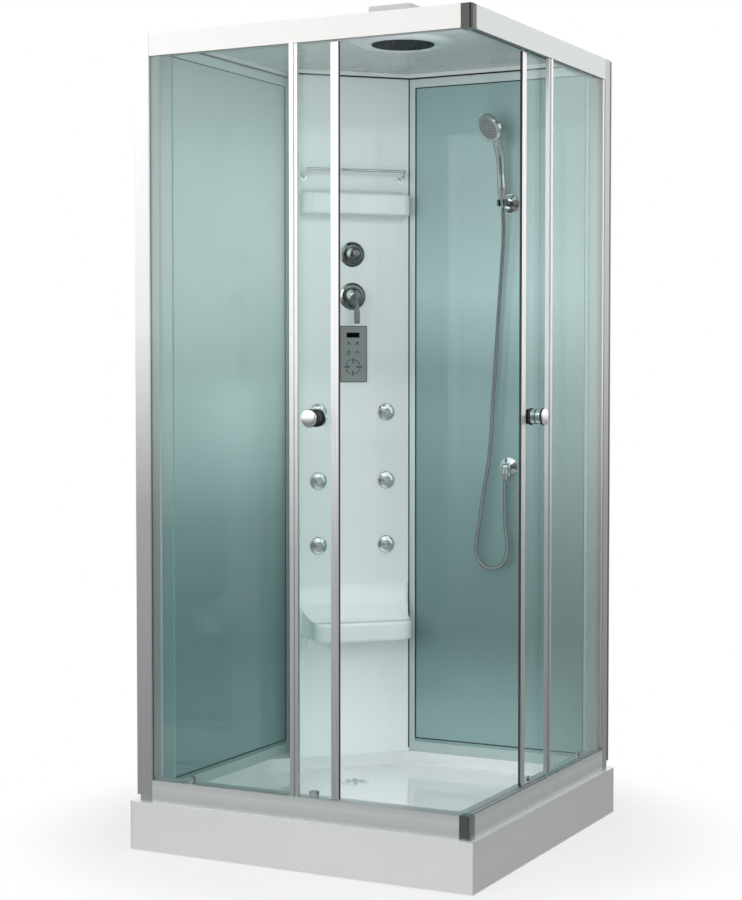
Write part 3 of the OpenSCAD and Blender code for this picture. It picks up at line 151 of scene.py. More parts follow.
def hose_points():
    """The route from the hand shower's nut to the outlet's, with both ends straight."""
    drops = (0, HOSE_PLAIN_END, 2 * HOSE_PLAIN_END)
    first = [HOSE_START - HANDSET_AXIS * drop for drop in drops]
    last = [OUTLET_END - UP * drop for drop in reversed(drops)]
    return first + [OUTLET + Vector((x, -y, z)) for x, y, z in HOSE_ROUTE] + last


def smooth_line(points):
    """Points on the Catmull-Rom curve through the given ones."""
    line = []
    last = len(points) - 1
    for j in range(CURVE_STEPS * last + 1):
        i = min(j // CURVE_STEPS, last - 1)
        t = j / CURVE_STEPS - i
        a, b, c, d = points[max(i - 1, 0)], points[i], points[i + 1], points[min(i + 2, last)]
        line.append(0.5 * (2 * b + (c - a) * t + (2 * a - 5 * b + 4 * c - d) * t * t
                           + (3 * b - a - 3 * c + d) * t ** 3))
    return line


def resample(line, distances):
    """Points at the given distances along a line, and the line's direction at each."""
    sums = [0.0]
    for a, b in zip(line, line[1:]):
        sums.append(sums[-1] + (b - a).length)
    found = []
    j = 0
    for s in distances:
        while j < len(sums) - 2 and sums[j + 1] < s:
            j += 1
        f = (s - sums[j]) / (sums[j + 1] - sums[j])
        found.append(line[j].lerp(line[j + 1], min(max(f, 0), 1)))
    last = len(found) - 1
    directions = [(found[min(i + 2, last)] - found[max(i - 2, 0)]).normalized() for i in range(last + 1)]
    return found, directions


def tube(name, centres, directions, radii):
    """A closed tube of one ring of points about each centre."""
    sides = TUBE_SIDES
    points, faces = [], []
    for c, t, r in zip(centres, directions, radii):
        n1 = t.cross(Vector((0, 1, 0))).normalized()
        n2 = t.cross(n1)
        for i in range(sides):
            a = 2 * math.pi * i / sides
            points.append(c + n1 * (r * math.cos(a)) + n2 * (r * math.sin(a)))
    for j in range(len(centres) - 1):
        for i in range(sides):
            k = (i + 1) % sides
            faces.append((j * sides + i, j * sides + k, (j + 1) * sides + k, (j + 1) * sides + i))
    faces.append(tuple(reversed(range(sides))))
    faces.append(tuple((len(centres) - 1) * sides + i for i in range(sides)))
    return mesh_object(name, points, faces)


def add_hose():
    """The ribbed hose, bent between the cabin and the hand shower."""
    line = smooth_line(hose_points())
    total = sum((b - a).length for a, b in zip(line, line[1:]))
    pitch = (total - 2 * HOSE_PLAIN_END) / HOSE_RIBS
    distances, radii = [0.0], [HOSE_RADIUS - HOSE_GROOVE]
    for rib in range(HOSE_RIBS):
        for at, rise in RIB_SHAPE:
            distances.append(HOSE_PLAIN_END + (rib + at) * pitch)
            radii.append(HOSE_RADIUS - HOSE_GROOVE * (1 - rise))
    distances.append(total)
    radii.append(HOSE_RADIUS - HOSE_GROOVE)
    centres, directions = resample(line, distances)
    hose = tube("hose_ribbed", centres, directions, radii)
    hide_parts("hose")
    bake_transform(hose)
    return hose


HOSE = add_hose()

# Pieces that the frame's solids only stand in for, or leave plain


class Form:
    """Points and faces of several shapes, gathered into one mesh."""

    def __init__(self):
        """Starts with no shape."""
        self.points, self.faces = [], []

    def add(self, points, faces):
        """Adds one shape, whose faces count its own points from nought."""
        start = len(self.points)
        self.points += points
        self.faces += [tuple(start + i for i in face) for face in faces]

    def turned(self, profile, origin, axis, sides=48):
        """A profile of (radius, height) turned about an axis, closed at both ends."""
        side = axis.orthogonal().normalized()
        other = axis.cross(side)
        points, faces = [], []
        for r, h in profile:
            for i in range(sides):
                a = 2 * math.pi * i / sides
                points.append(origin + axis * h + (side * math.cos(a) + other * math.sin(a)) * r)
        for j in range(len(profile) - 1):
            for i in range(sides):
                k = (i + 1) % sides
                faces.append((j * sides + i, j * sides + k, (j + 1) * sides + k, (j + 1) * sides + i))
        faces.append(tuple(reversed(range(sides))))
        faces.append(tuple((len(profile) - 1) * sides + i for i in range(sides)))
        self.add(points, faces)

    def rod(self, a, b, r, sides=10):
        """A round bar from a to b."""
        self.turned([(r, 0), (r, (b - a).length)], a, (b - a).normalized(), sides)

    def block(self, origin, a, b, c):
        """A box on three edges that leave one corner."""
        points = [origin + a * i + b * j + c * k for i in (0, 1) for j in (0, 1) for k in (0, 1)]
        self.add(points, [
            (0, 1, 3, 2), (4, 6, 7, 5), (0, 4, 5, 1), (2, 3, 7, 6), (0, 2, 6, 4), (1, 5, 7, 3),
        ])

    def prism(self, outline, low, high):
        """An outline of (x, y) raised from one height to another."""
        count = len(outline)
        points = [Vector((x, y, z)) for z in (low, high) for x, y in outline]
        faces = [(i, (i + 1) % count, count + (i + 1) % count, count + i) for i in range(count)]
        faces.append(tuple(reversed(range(count))))
        faces.append(tuple(range(count, 2 * count)))
        self.add(points, faces)

    def object(self, name, body, smooth=True):
        """The gathered mesh as one piece that rides on a body."""
        obj = mesh_object(name, self.points, self.faces, smooth)
        if smooth:
            split_edges(obj, 35)
        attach(obj, body)
        return obj


# Door knobs: chrome and rubber profiles of (radius, height) from the pane's face

KNOB_CHROME = [
    (0.010, 0.003), (0.019, 0.0035), (0.019, 0.0335), (0.0212, 0.0372), (0.0216, 0.0385), (0.0216, 0.0405),
    (0.0205, 0.0424), (0.017, 0.0438), (0.010, 0.0447), (0.0005, 0.045),
]
KNOB_RINGS = [
    [(0.010, 0), (0.0222, 0), (0.0226, 0.001), (0.0226, 0.0035), (0.0215, 0.0048), (0.0185, 0.005)],
    [(0.0185, 0.0165), (0.0198, 0.0169), (0.0198, 0.0187), (0.0185, 0.0191)],
    [(0.018, 0.033), (0.0215, 0.0332), (0.0229, 0.0345), (0.023, 0.0375), (0.0222, 0.039), (0.0205, 0.039)],
]
KNOB_INNER = [
    (0.010, 0.0015), (0.0215, 0.0018), (0.022, 0.003), (0.022, 0.008), (0.0205, 0.0095), (0.014, 0.0102),
    (0.0005, 0.0105),
]
KNOB_WASHER = [(0.010, 0), (0.0205, 0), (0.0205, 0.0018), (0.010, 0.0018)]
KNOB_R = 0.023


def add_knob(side, at, inner_at, out):
    """A door's knob outside and its flat disc inside, in chrome, with their rubber rings."""
    chrome, rings = Form(), Form()
    chrome.turned(KNOB_CHROME, at, out)
    chrome.turned(KNOB_INNER, inner_at, -out)
    for profile in KNOB_RINGS:
        rings.turned(profile, at, out)
    rings.turned(KNOB_WASHER, inner_at, -out)
    knob = chrome.object(side + "_knob_turned", side + "_door")
    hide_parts(side + "_door_knob")
    return knob, rings.object(side + "_knob_rings", side + "_door")


def add_knobs():
    """Both doors' knobs, on the faces of their panes."""
    low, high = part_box("left_door_knob")
    x, z = high.x - KNOB_R, (low.z + high.z) / 2
    outer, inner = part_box("left_door_glass")
    left = add_knob("left", Vector((x, outer.y, z)), Vector((x, inner.y, z)), Vector((0, -1, 0)))
    low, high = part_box("right_door_knob")
    y, z = low.y + KNOB_R, (low.z + high.z) / 2
    inner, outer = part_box("right_door_glass")
    right = add_knob("right", Vector((outer.x, y, z)), Vector((inner.x, y, z)), Vector((1, 0, 0)))
    return left, right


KNOBS = add_knobs()

# Diverter's cap: a profile of (radius, height) from the column's face

DIVERTER_CAP = [
    (0.0005, 0.0056), (0.0215, 0.0056), (0.0222, 0.0095), (0.0232, 0.0115), (0.0236, 0.016), (0.023, 0.0215),
    (0.021, 0.0262), (0.0178, 0.0293), (0.0125, 0.0314), (0.006, 0.0323), (0.0005, 0.0325),
]


def add_diverter_cap():
    """The smooth round cap that turns the diverter."""
    form = Form()
    form.turned(DIVERTER_CAP, on_column(MID_U, 0, DIVERTER_AXIS_AT.z), FACE, 64)
    cap = form.object("diverter_cap", "diverter")
    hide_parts("diverter_knob")
    return cap


DIVERTER = add_diverter_cap()

# Key panel: window, printed signs, ring with its ticks and the dark edge, placed as (u, z)

PANEL_FACE = 0.0058
PANEL_AT = (0.042, 1.322)
PANEL_SIZE = (0.083, 0.165)
PANEL_EDGE = 0.0020
PANEL_EDGE_SUNK = 0.0006
PRINT_THICK = 0.0003
RING_AT = (0.0405, 1.284)
RING_R = 0.022
RING_LINE_R = 0.0008
RING_STEPS = 72
RING_GAP_DEGREES = 10
TICK_OUT = 0.0185
TICK_UP = (0.0032, 0.0135)
TICK_ACROSS = (0.0165, 0.0034)
SIGNS_AT = [(0.0273, 1.3525), (0.054, 1.3525), (0.0273, 1.3265), (0.054, 1.3265)]
SIGN_DOT_R = 0.0028
SIGN_DOT_UP = 0.002
SIGN_FOOT = (0.0048, -0.0022)
SIGN_FOOT_SIZE = (0.0030, 0.0018)
SIGN_BAR_TOP = ((0.054, 1.3575), (0.0065, 0.0015))
SIGN_BAR_LOW = ((0.0273, 1.3205), (0.0095, 0.0015))
WINDOW_OFF = (-0.0014, 0.0556)
WINDOW_SIZE = (0.0394, 0.0148)
WINDOW_BACK = 0.0051
WINDOW_THICK = 0.0009


def add_bar(form, at, size, back=PANEL_FACE, thick=PRINT_THICK):
    """A flat bar on the key panel, about its middle."""
    (u, z), (w, h) = at, size
    form.block(on_column(u - w / 2, back, z - h / 2), FACE * thick, ALONG * w, UP * h)


def on_ring(step):
    """A point on the key ring's circle."""
    t = 2 * math.pi * step / RING_STEPS
    at = Vector((RING_AT[0] + RING_R * math.cos(t), RING_AT[1] + RING_R * math.sin(t)))
    return on_column(at.x, PANEL_FACE, at.y)


def add_ring(form):
    """The key ring's line, broken at its four ticks."""
    for i in range(RING_STEPS):
        turn = 360 * i / RING_STEPS % 90
        if RING_GAP_DEGREES < turn < 90 - RING_GAP_DEGREES:
            form.rod(on_ring(i), on_ring(i + 1), RING_LINE_R, 6)


def add_key_print():
    """The panel's prints in three pieces: grey signs, blue ticks and the black window."""
    marks, ticks, window = Form(), Form(), Form()
    add_ring(marks)
    for sign in (-1, 1):
        add_bar(ticks, (RING_AT[0], RING_AT[1] + sign * TICK_OUT), TICK_UP)
        add_bar(ticks, (RING_AT[0] + sign * TICK_OUT, RING_AT[1]), TICK_ACROSS)
    for u, z in SIGNS_AT:
        dot = [(SIGN_DOT_R, 0), (SIGN_DOT_R * 0.9, PRINT_THICK)]
        marks.turned(dot, on_column(u, PANEL_FACE, z + SIGN_DOT_UP), FACE, 20)
        for sign in (-1, 1):
            add_bar(marks, (u + sign * SIGN_FOOT[0], z + SIGN_FOOT[1]), SIGN_FOOT_SIZE)
    for at, size in (SIGN_BAR_TOP, SIGN_BAR_LOW):
        add_bar(marks, at, size)
    (u, z), (w, h) = PANEL_AT, PANEL_SIZE
    edge_face = PANEL_FACE - PANEL_EDGE_SUNK
    for sign in (-1, 1):
        add_bar(marks, (u + sign * (w - PANEL_EDGE) / 2, z), (PANEL_EDGE, h), edge_face)
        add_bar(marks, (u, z + sign * (h - PANEL_EDGE) / 2), (w, PANEL_EDGE), edge_face)
    add_bar(window, (u + WINDOW_OFF[0], z + WINDOW_OFF[1]), WINDOW_SIZE, WINDOW_BACK, WINDOW_THICK)
    return (marks.object("key_signs", "cabin", False), ticks.object("key_ticks", "cabin", False),
            window.object("key_window", "cabin", False))


KEY_SIGNS, KEY_TICKS, KEY_WINDOW = add_key_print()

# Spray plate of the hand shower, with a rubber nub on each of its holes

HEAD_AT = (-0.010, -0.030, 0.215)
HEAD_TURN = math.radians(-25)
HEAD_TIP = math.radians(110)
PLATE_BACK = 0.0104
SPRAY_PROFILE = [
    (0.0005, 0), (0.0325, 0), (0.0329, 0.0006), (0.0322, 0.0012), (0.0290, 0.0011), (0.0285, 0.0016),
    (0.0005, 0.0021),
]
NUB_BACK = 0.0121
NUB_PROFILE = [(0.0016, -0.0004), (0.0016, 0.0005), (0.0011, 0.0012), (0.0002, 0.0014)]
NUB_RINGS = 4
NUB_STEP = 0.0085


def add_spray_plate():
    """The face plate of the leaning head, and its nubs in rings of 1, 6, 12 and 18."""
    place = (Matrix.Translation(HOLDER) @ Matrix.Rotation(LEAN, 4, "X") @ Matrix.Translation(HEAD_AT)
             @ Matrix.Rotation(HEAD_TURN, 4, "Z") @ Matrix.Rotation(HEAD_TIP, 4, "X"))
    out = (place.to_3x3() @ UP).normalized()
    plate, nubs = Form(), Form()
    plate.turned(SPRAY_PROFILE, place @ Vector((0, 0, PLATE_BACK)), out, 64)
    for ring in range(NUB_RINGS):
        count = max(6 * ring, 1)
        for i in range(count):
            a = 2 * math.pi * i / count
            at = place @ Vector((NUB_STEP * ring * math.cos(a), NUB_STEP * ring * math.sin(a), NUB_BACK))
            nubs.turned(NUB_PROFILE, at, out, 12)
    return plate.object("spray_plate", "hand_shower"), nubs.object("spray_nubs", "hand_shower")


SPRAY_PLATE, SPRAY_NUBS = add_spray_plate()

# Seat back: a hollow curve from the column's face down to the seat's front edge

SEAT_Z = 0.541
SEAT_HALF = 0.150
SEAT_DEPTH = 0.150
SEAT_CORNER = 0.048
SEAT_SKIRT = 0.046
CURVE_OUT = 0.112
CURVE_UP = 0.098
CURVE_LIFT = 0.0006
CURVE_OFF = 0.0002
END_INSET = 0.0015
SPREAD_LEFT = 0.029
SPREAD_RIGHT = 0.026
SPREAD_UNTIL = 0.095
SEAT_ROWS = 24
SEAT_COLUMNS = 30


def seat_row(t):
    """One level line of the curve, from its top (t = 0) to the seat's front (a quarter turn)."""
    out = CURVE_OUT * (1 - math.cos(t))
    z = SEAT_Z + CURVE_UP * (1 - math.sin(t)) + CURVE_LIFT
    into = max(out - (SEAT_DEPTH - SEAT_CORNER), 0)
    cut = SEAT_CORNER - math.sqrt(SEAT_CORNER ** 2 - into * into) + END_INSET
    spread = max(1 - out / SPREAD_UNTIL, 0) ** 1.5
    low = MID_U - SEAT_HALF + cut - SPREAD_LEFT * spread
    high = MID_U + SEAT_HALF - cut + SPREAD_RIGHT * spread
    return [on_column(low + (high - low) * i / SEAT_COLUMNS, out + CURVE_OFF, z)
            for i in range(SEAT_COLUMNS + 1)]


def add_seat_back():
    """Runs into the column's edges at the face and into the seat's own ends at the front."""
    points, faces = [], []
    for j in range(SEAT_ROWS + 1):
        points += seat_row(math.pi / 2 * j / SEAT_ROWS)
    width = SEAT_COLUMNS + 1
    for j in range(SEAT_ROWS):
        for i in range(SEAT_COLUMNS):
            k = j * width + i
            faces.append((k, k + 1, k + width + 1, k + width))
    for i in (0, SEAT_COLUMNS):
        foot = len(points)
        edge = [points[j * width + i] for j in range(SEAT_ROWS + 1)]
        points += [Vector((p.x, p.y, SEAT_Z - SEAT_SKIRT)) for p in edge]
        for j in range(SEAT_ROWS):
            a, b = j * width + i, (j + 1) * width + i
            quad = (a, b, foot + j + 1, foot + j)
            faces.append(quad if i == 0 else tuple(reversed(quad)))
    back = mesh_object("seat_back", points, faces)
    split_edges(back, 75)
    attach(back, "cabin")
    return back


SEAT_BACK = add_seat_back()

# Seals, lips and trims along the walls, in plan from the left wall's front to the right wall's front

WALL_END = 0.4385
FACE_LEFT = (-0.3848, 0.1869)
PLAN = [(-WALL_IN, -WALL_END), (-WALL_IN, LEFT_FRAME_HIGH.y), FACE_LEFT, (RIGHT_FRAME_LOW.x, WALL_IN),
        (WALL_END, WALL_IN)]
WALL_OFF = 0.0002
LIP_H = 0.012
LIP_THICK = 0.009
SEAL_H = 0.0034
SEAL_THICK = 0.004
CORNER_SEALS_AT = [(-0.1322, 0.4386), (-0.4391, 0.2590)]
CORNER_SEAL_R = 0.0017
CORNER_SEAL_LOW = 0.142
GLASS_SEAL_R = 0.0015
GLASS_SEAL_Z = (0.1716, 2.1086)
GLASS_SEAL_BACK = 0.0024
LEFT_GLASS_Y = (-0.4235, 0.2395)
RIGHT_GLASS_X = (-0.1112, 0.4235)
TRIM_UP = 0.0014
TRIM_H = 0.0100
TRIM_OUT = 0.0020
TRIM_THICK = 0.0032
TRIM_LONGER = 1.002
CEILING_GAP = 0.0004
LIP_GAP = 0.0002


def along_walls(form, low, high, thick):
    """A strip of one height and thickness along the walls and the column's face."""
    for (x0, y0), (x1, y1) in zip(PLAN, PLAN[1:]):
        a, b = Vector((x0, y0, low)), Vector((x1, y1, low))
        way = (b - a).normalized()
        inward = Vector((way.y, -way.x, 0))
        form.block(a + inward * WALL_OFF, UP * (high - low), b - a, inward * thick)


def frame_glass(seals, trims, span, place, into_room):
    """A black line round one wall's glass, and a pale trim over its top."""
    (a, b), (low, high) = span, GLASS_SEAL_Z
    for start, end in ((place(a, low), place(a, high)), (place(b, low), place(b, high)),
                       (place(a, low), place(b, low)), (place(a, high), place(b, high))):
        seals.rod(start, end, GLASS_SEAL_R)
    origin = place(a - GLASS_SEAL_R, high + TRIM_UP) + into_room * TRIM_OUT
    length = (place(b, low) - place(a, low)) * TRIM_LONGER
    trims.block(origin, UP * TRIM_H, length, into_room * -TRIM_THICK)


def add_wall_trims():
    """Black seals, the ceiling's lip and the trims over the glass."""
    seals, lip, trims = Form(), Form(), Form()
    lip_low = CEILING_Z - LIP_H
    seal_high = lip_low - LIP_GAP
    along_walls(lip, lip_low, CEILING_Z - CEILING_GAP, LIP_THICK)
    along_walls(seals, seal_high - SEAL_H, seal_high, SEAL_THICK)
    top = lip_low - SEAL_THICK
    for x, y in CORNER_SEALS_AT:
        seals.rod(Vector((x, y, CORNER_SEAL_LOW)), Vector((x, y, top)), CORNER_SEAL_R)
    at = WALL_IN + GLASS_SEAL_BACK
    frame_glass(seals, trims, LEFT_GLASS_Y, lambda s, z: Vector((-at, s, z)), Vector((1, 0, 0)))
    frame_glass(seals, trims, RIGHT_GLASS_X, lambda s, z: Vector((s, at, z)), Vector((0, -1, 0)))
    return (seals.object("wall_seals", "cabin"), lip.object("ceiling_lip", "cabin", False),
            trims.object("glass_trims", "cabin", False))


WALL_SEALS, CEILING_LIP, GLASS_TRIMS = add_wall_trims()

# Right side: the post's rolled edge, the pane's bead, the door's lip, and the pane with its channel

POST_LIP_OUTLINE = [
    (0.4665, 0.4840), (0.4665, 0.4905), (0.4680, 0.4918), (0.4805, 0.4918), (0.4830, 0.4908),
    (0.4842, 0.4885), (0.4842, 0.4840),
]
POST_LIP_Z = (0.151, 2.1495)
BEAD_X = 0.4810
BEAD_Z = (0.200, 2.091)
BEADS = [(0.4245, 0.0036), (0.4300, 0.0030)]
DOOR_LIP_AT = Vector((0.4711, -0.1351, 0.203))
DOOR_LIP_SIZE = Vector((0.0008, 0.0052, 1.884))
# How far behind their solids the pane and its channel end in the photograph
PANE_SHIFT = 0.026
PANE_LOW_INSET = Vector((0.0001, PANE_SHIFT, 0.0092))
PANE_HIGH_INSET = Vector((0.0001, 0.0002, 0.0003))
CHANNEL_Z = (0.1985, 2.0915)
# From the channel's inner front corner
CHANNEL_OUTLINE = [
    (0, 0), (0.0092, 0), (0.0095, 0.0003), (0.0095, 0.010), (0.0121, 0.010), (0.0125, 0.0104),
    (0.0125, 0.0216), (0.0121, 0.022), (0, 0.022),
]


def add_box(form, low, size):
    """An upright box from its lowest corner."""
    form.block(low, Vector((size.x, 0, 0)), Vector((0, size.y, 0)), UP * size.z)


def add_post_lip():
    """The rolled edge of the right post beside the wall."""
    form = Form()
    form.prism(POST_LIP_OUTLINE, *POST_LIP_Z)
    return form.object("post_lip_right", "cabin", False)


def add_pane_bead():
    """The bright bead that holds the right fixed pane beside its post."""
    form = Form()
    low, high = BEAD_Z
    for y, r in BEADS:
        form.rod(Vector((BEAD_X, y, low)), Vector((BEAD_X, y, high)), r, 12)
    return form.object("pane_bead_right", "cabin")


def add_door_lip():
    """The thin lip of the right door's profile over the outside of its seal."""
    form = Form()
    add_box(form, DOOR_LIP_AT, DOOR_LIP_SIZE)
    return form.object("right_door_lip", "right_door", False)


def add_right_pane():
    """The right fixed pane and its edge channel, which end further back than the left ones."""
    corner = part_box("fixed_edge_right")[0]
    profile = Form()
    profile.prism([(corner.x + x, corner.y + PANE_SHIFT + y) for x, y in CHANNEL_OUTLINE], *CHANNEL_Z)
    channel = profile.object("fixed_channel_right", "cabin", False)
    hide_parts("fixed_edge_right")
    low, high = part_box("fixed_glass_right")
    low, high = low + PANE_LOW_INSET, high - PANE_HIGH_INSET
    sheet = Form()
    add_box(sheet, low, high - low)
    glass = sheet.object("fixed_pane_right", "cabin", False)
    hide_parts("fixed_glass_right")
    return channel, glass


POST_LIP = add_post_lip()
PANE_BEAD = add_pane_bead()
DOOR_LIP = add_door_lip()
RIGHT_CHANNEL, RIGHT_PANE = add_right_pane()

# Materials


def rgba(r, g, b):
    """A solid colour."""
    return (r, g, b, 1.0)


def scaled(colour, share):
    """A colour made darker or lighter, kept within what a surface can return."""
    return rgba(*[min(max(c * share, 0), 1) for c in colour])


class Nodes:
    """The shader tree of a material or a world, with a short way to add and link nodes."""

    def __init__(self, owner, output="ShaderNodeOutputMaterial"):
        """Starts from an empty tree with nothing but its output node."""
        owner.use_nodes = True
        self.owner, self.tree = owner, owner.node_tree
        self.tree.nodes.clear()
        self.output = self.add(output)

    def fill(self, socket, value):
        """Links a socket, or gives it a fixed value."""
        if isinstance(value, bpy.types.NodeSocket):
            self.tree.links.new(value, socket)
        else:
            socket.default_value = value

    def add(self, kind, inputs=None, **settings):
        """A new node with its inputs filled and its settings made."""
        node = self.tree.nodes.new(kind)
        for key, value in settings.items():
            setattr(node, key, value)
        for key, value in (inputs or {}).items():
            self.fill(node.inputs[key], value)
        return node

    def finish(self, shader):
        """Links the shader to the output and hands back the material or world."""
        self.tree.links.new(shader, self.output.inputs["Surface"])
        return self.owner

    def principled(self, inputs):
        """A Principled shader."""
        return self.add("ShaderNodeBsdfPrincipled", inputs).outputs["BSDF"]

    def mix_shaders(self, factor, a, b):
        """One shader at factor nought, the other at one."""
        return self.add("ShaderNodeMixShader", {0: factor, 1: a, 2: b}).outputs[0]

    def compute(self, operation, a, b=0.0):
        """One sum on one or two values."""
        return self.add("ShaderNodeMath", {0: a, 1: b}, operation=operation).outputs[0]

    def dot(self, vector, toward):
        """How far a direction points toward another one."""
        return self.add("ShaderNodeVectorMath", {0: vector, 1: toward},
                        operation="DOT_PRODUCT").outputs["Value"]

    def here(self):
        """The shaded point in the object's own metres."""
        return self.add("ShaderNodeTexCoord").outputs["Object"]

    def noise(self, scale, detail=3.0, stretch=(1, 1, 1)):
        """Soft noise, mostly between 0.35 and 0.65, finer along an axis with a larger stretch."""
        place = self.add("ShaderNodeMapping", {"Vector": self.here(), "Scale": stretch}).outputs["Vector"]
        return self.add("ShaderNodeTexNoise", {
            "Vector": place, "Scale": scale, "Detail": detail,
        }).outputs["Fac"]

    def ramp(self, value, low, high, from_min=0.35, from_max=0.65, curve="LINEAR"):
        """Maps a value from one range to another. The default range is that of most noise."""
        return self.add("ShaderNodeMapRange", {
            "Value": value, "From Min": from_min, "From Max": from_max, "To Min": low, "To Max": high,
        }, interpolation_type=curve).outputs["Result"]

    def mix(self, factor, a, b, blend="MIX"):
        """Two colours blended by a factor."""
        node = self.add("ShaderNodeMix", data_type="RGBA", blend_type=blend)
        for index, value in ((0, factor), (6, a), (7, b)):
            self.fill(node.inputs[index], value)
        return node.outputs[2]

    def facing(self, blend):
        """Nought where a surface faces the viewer, rising to one at its outline."""
        return self.add("ShaderNodeLayerWeight", {"Blend": blend}).outputs["Facing"]

    def along_z(self, stops):
        """A colour that runs through stops of (height in metres, colour)."""
        z = self.add("ShaderNodeSeparateXYZ", {"Vector": self.here()}).outputs["Z"]
        low, high = stops[0][0], stops[-1][0]
        ramp = self.add("ShaderNodeValToRGB", {"Fac": self.ramp(z, 0.0, 1.0, low, high)})
        points = ramp.color_ramp.elements
        while len(points) < len(stops):
            points.new(0.5)
        for point, (height, colour) in zip(points, stops):
            point.position = (height - low) / (high - low)
            point.color = rgba(*colour)
        return ramp.outputs["Color"]

    def bump(self, height, strength):
        """A normal that follows a height of up to a millimetre."""
        return self.add("ShaderNodeBump", {
            "Height": height, "Strength": strength, "Distance": 0.001,
        }).outputs["Normal"]


def new_material(name):
    """The empty tree of a new material."""
    return Nodes(bpy.data.materials.new(name))


def surface(name, base, roughness, metallic=0.0, coat=0.0, coat_roughness=0.03, spread=0.03,
            mottle=8.0, rough_spread=0.05, bump=0.05, bump_scale=60.0, stretch=(1, 1, 1), ior=1.45):
    """A finish whose colour, roughness and normal vary a little."""
    n = new_material(name)
    slow = n.noise(mottle, 4.0)
    fine = n.noise(bump_scale, 3.0, stretch)
    return n.finish(n.principled({
        "Base Color": n.mix(n.ramp(slow, 0.0, 1.0), scaled(base, 1 - spread), scaled(base, 1 + spread)),
        "Roughness": n.ramp(fine, max(roughness - rough_spread, 0.01), roughness + rough_spread),
        "Metallic": metallic,
        "IOR": ior,
        "Coat Weight": coat,
        "Coat Roughness": coat_roughness,
        "Normal": n.bump(fine, bump),
    }))


def pane(name, face_tint, edge_tint, face_axis, reflection=0.9):
    """Clear sheet glass: tinted see-through, a mirror that grows at grazing angles, and green edges."""
    n = new_material(name)
    fifth = n.compute("POWER", n.facing(0.5), 5.0)
    amount = n.ramp(fifth, 0.035, reflection, 0.0, 1.0)
    normal = n.add("ShaderNodeNewGeometry").outputs["Normal"]
    across = n.add("ShaderNodeSeparateXYZ", {"Vector": normal}).outputs[face_axis]
    is_face = n.compute("GREATER_THAN", n.compute("ABSOLUTE", across), 0.5)
    smear = n.noise(3.0, 5.0, (1, 1, 0.4))
    tint = n.mix(n.ramp(smear, 0.0, 1.0), scaled(face_tint, 0.985), rgba(*face_tint))
    clear = n.add("ShaderNodeBsdfTransparent", {"Color": tint}).outputs[0]
    gloss = n.principled({
        "Base Color": rgba(0.9, 0.95, 0.95),
        "Metallic": 1.0,
        "Roughness": n.ramp(n.noise(2.0, 4.0), 0.015, 0.035),
    })
    rim = n.principled({
        "Base Color": n.mix(n.ramp(n.noise(90.0, 2.0), 0.0, 1.0), rgba(*edge_tint), scaled(edge_tint, 1.3)),
        "Roughness": 0.12,
        "Coat Weight": 0.6,
    })
    return n.finish(n.mix_shaders(is_face, rim, n.mix_shaders(amount, clear, gloss)))


def coated_glass(name, stops):
    """Glass painted on its back, under a clear mirror-like face: its colour changes along Z with painted
    light, shade and reflection.
    """
    n = new_material(name)
    base = n.along_z(stops)
    cloud = n.ramp(n.noise(1.6, 3.0), 0.0, 1.0, 0.3, 0.7)
    fine = n.noise(240.0, 2.0)
    return n.finish(n.principled({
        "Base Color": n.mix(cloud, base, n.mix(1.0, base, rgba(0.93, 0.95, 0.95), "MULTIPLY")),
        "Roughness": n.ramp(fine, 0.42, 0.5),
        "Coat Weight": 0.8,
        "Coat Roughness": 0.03,
        "Coat IOR": 1.7,
        "Normal": n.bump(fine, 0.02),
    }))


def rim_chrome(name, middle, rim, roughness=0.07, power=1.6):
    """Chrome with a painted reflection of a dark room: bright where it faces the viewer, dark round its
    outline.
    """
    n = new_material(name)
    fine = n.noise(40.0, 3.0)
    return n.finish(n.principled({
        "Base Color": n.mix(n.compute("POWER", n.facing(0.35), power), rgba(*middle), rgba(*rim)),
        "Roughness": n.ramp(fine, max(roughness - 0.03, 0.01), roughness + 0.03),
        "Metallic": 1.0,
        "Normal": n.bump(fine, 0.015),
    }))


def lit_chrome(name, bright, dark, rim, window, low, high):
    """Chrome with a painted reflection of a dark room and one bright window: a painted highlight where it
    faces the window.
    """
    n = new_material(name)
    normal = n.add("ShaderNodeNewGeometry").outputs["Normal"]
    lit = n.ramp(n.dot(normal, window), 0.0, 1.0, low, high, "SMOOTHSTEP")
    fine = n.noise(40.0, 3.0)
    return n.finish(n.principled({
        "Base Color": n.mix(n.compute("POWER", n.facing(0.35), 1.8),
                            n.mix(lit, rgba(*dark), rgba(*bright)), rgba(*rim)),
        "Roughness": n.ramp(fine, 0.07, 0.12),
        "Metallic": 1.0,
        "Normal": n.bump(fine, 0.015),
    }))


def graded(name, stops, along="", roughness=0.38, metallic=0.4, coat=0.1, coat_roughness=0.2, grain=0.05):
    """A finish whose tone changes along Z through its stops, which paint light and shade on the pieces that
    use it, with very fine lines along one axis if it is named.
    """
    n = new_material(name)
    stretch = [160.0 if along else 1.0] * 3
    if along:
        stretch["XYZ".index(along)] = 0.4
    lines = n.noise(5.0, 3.0, tuple(stretch))
    tone = n.along_z(stops)
    darker = n.mix(1.0, tone, rgba(1 - grain, 1 - grain, 1 - grain), "MULTIPLY")
    return n.finish(n.principled({
        "Base Color": n.mix(n.ramp(lines, 0.0, 1.0), darker, tone),
        "Roughness": n.ramp(lines, roughness - 0.04, roughness + 0.04),
        "Metallic": metallic,
        "Coat Weight": coat,
        "Coat Roughness": coat_roughness,
        "Normal": n.bump(lines, grain * 0.6),
    }))


# Chrome and other metals

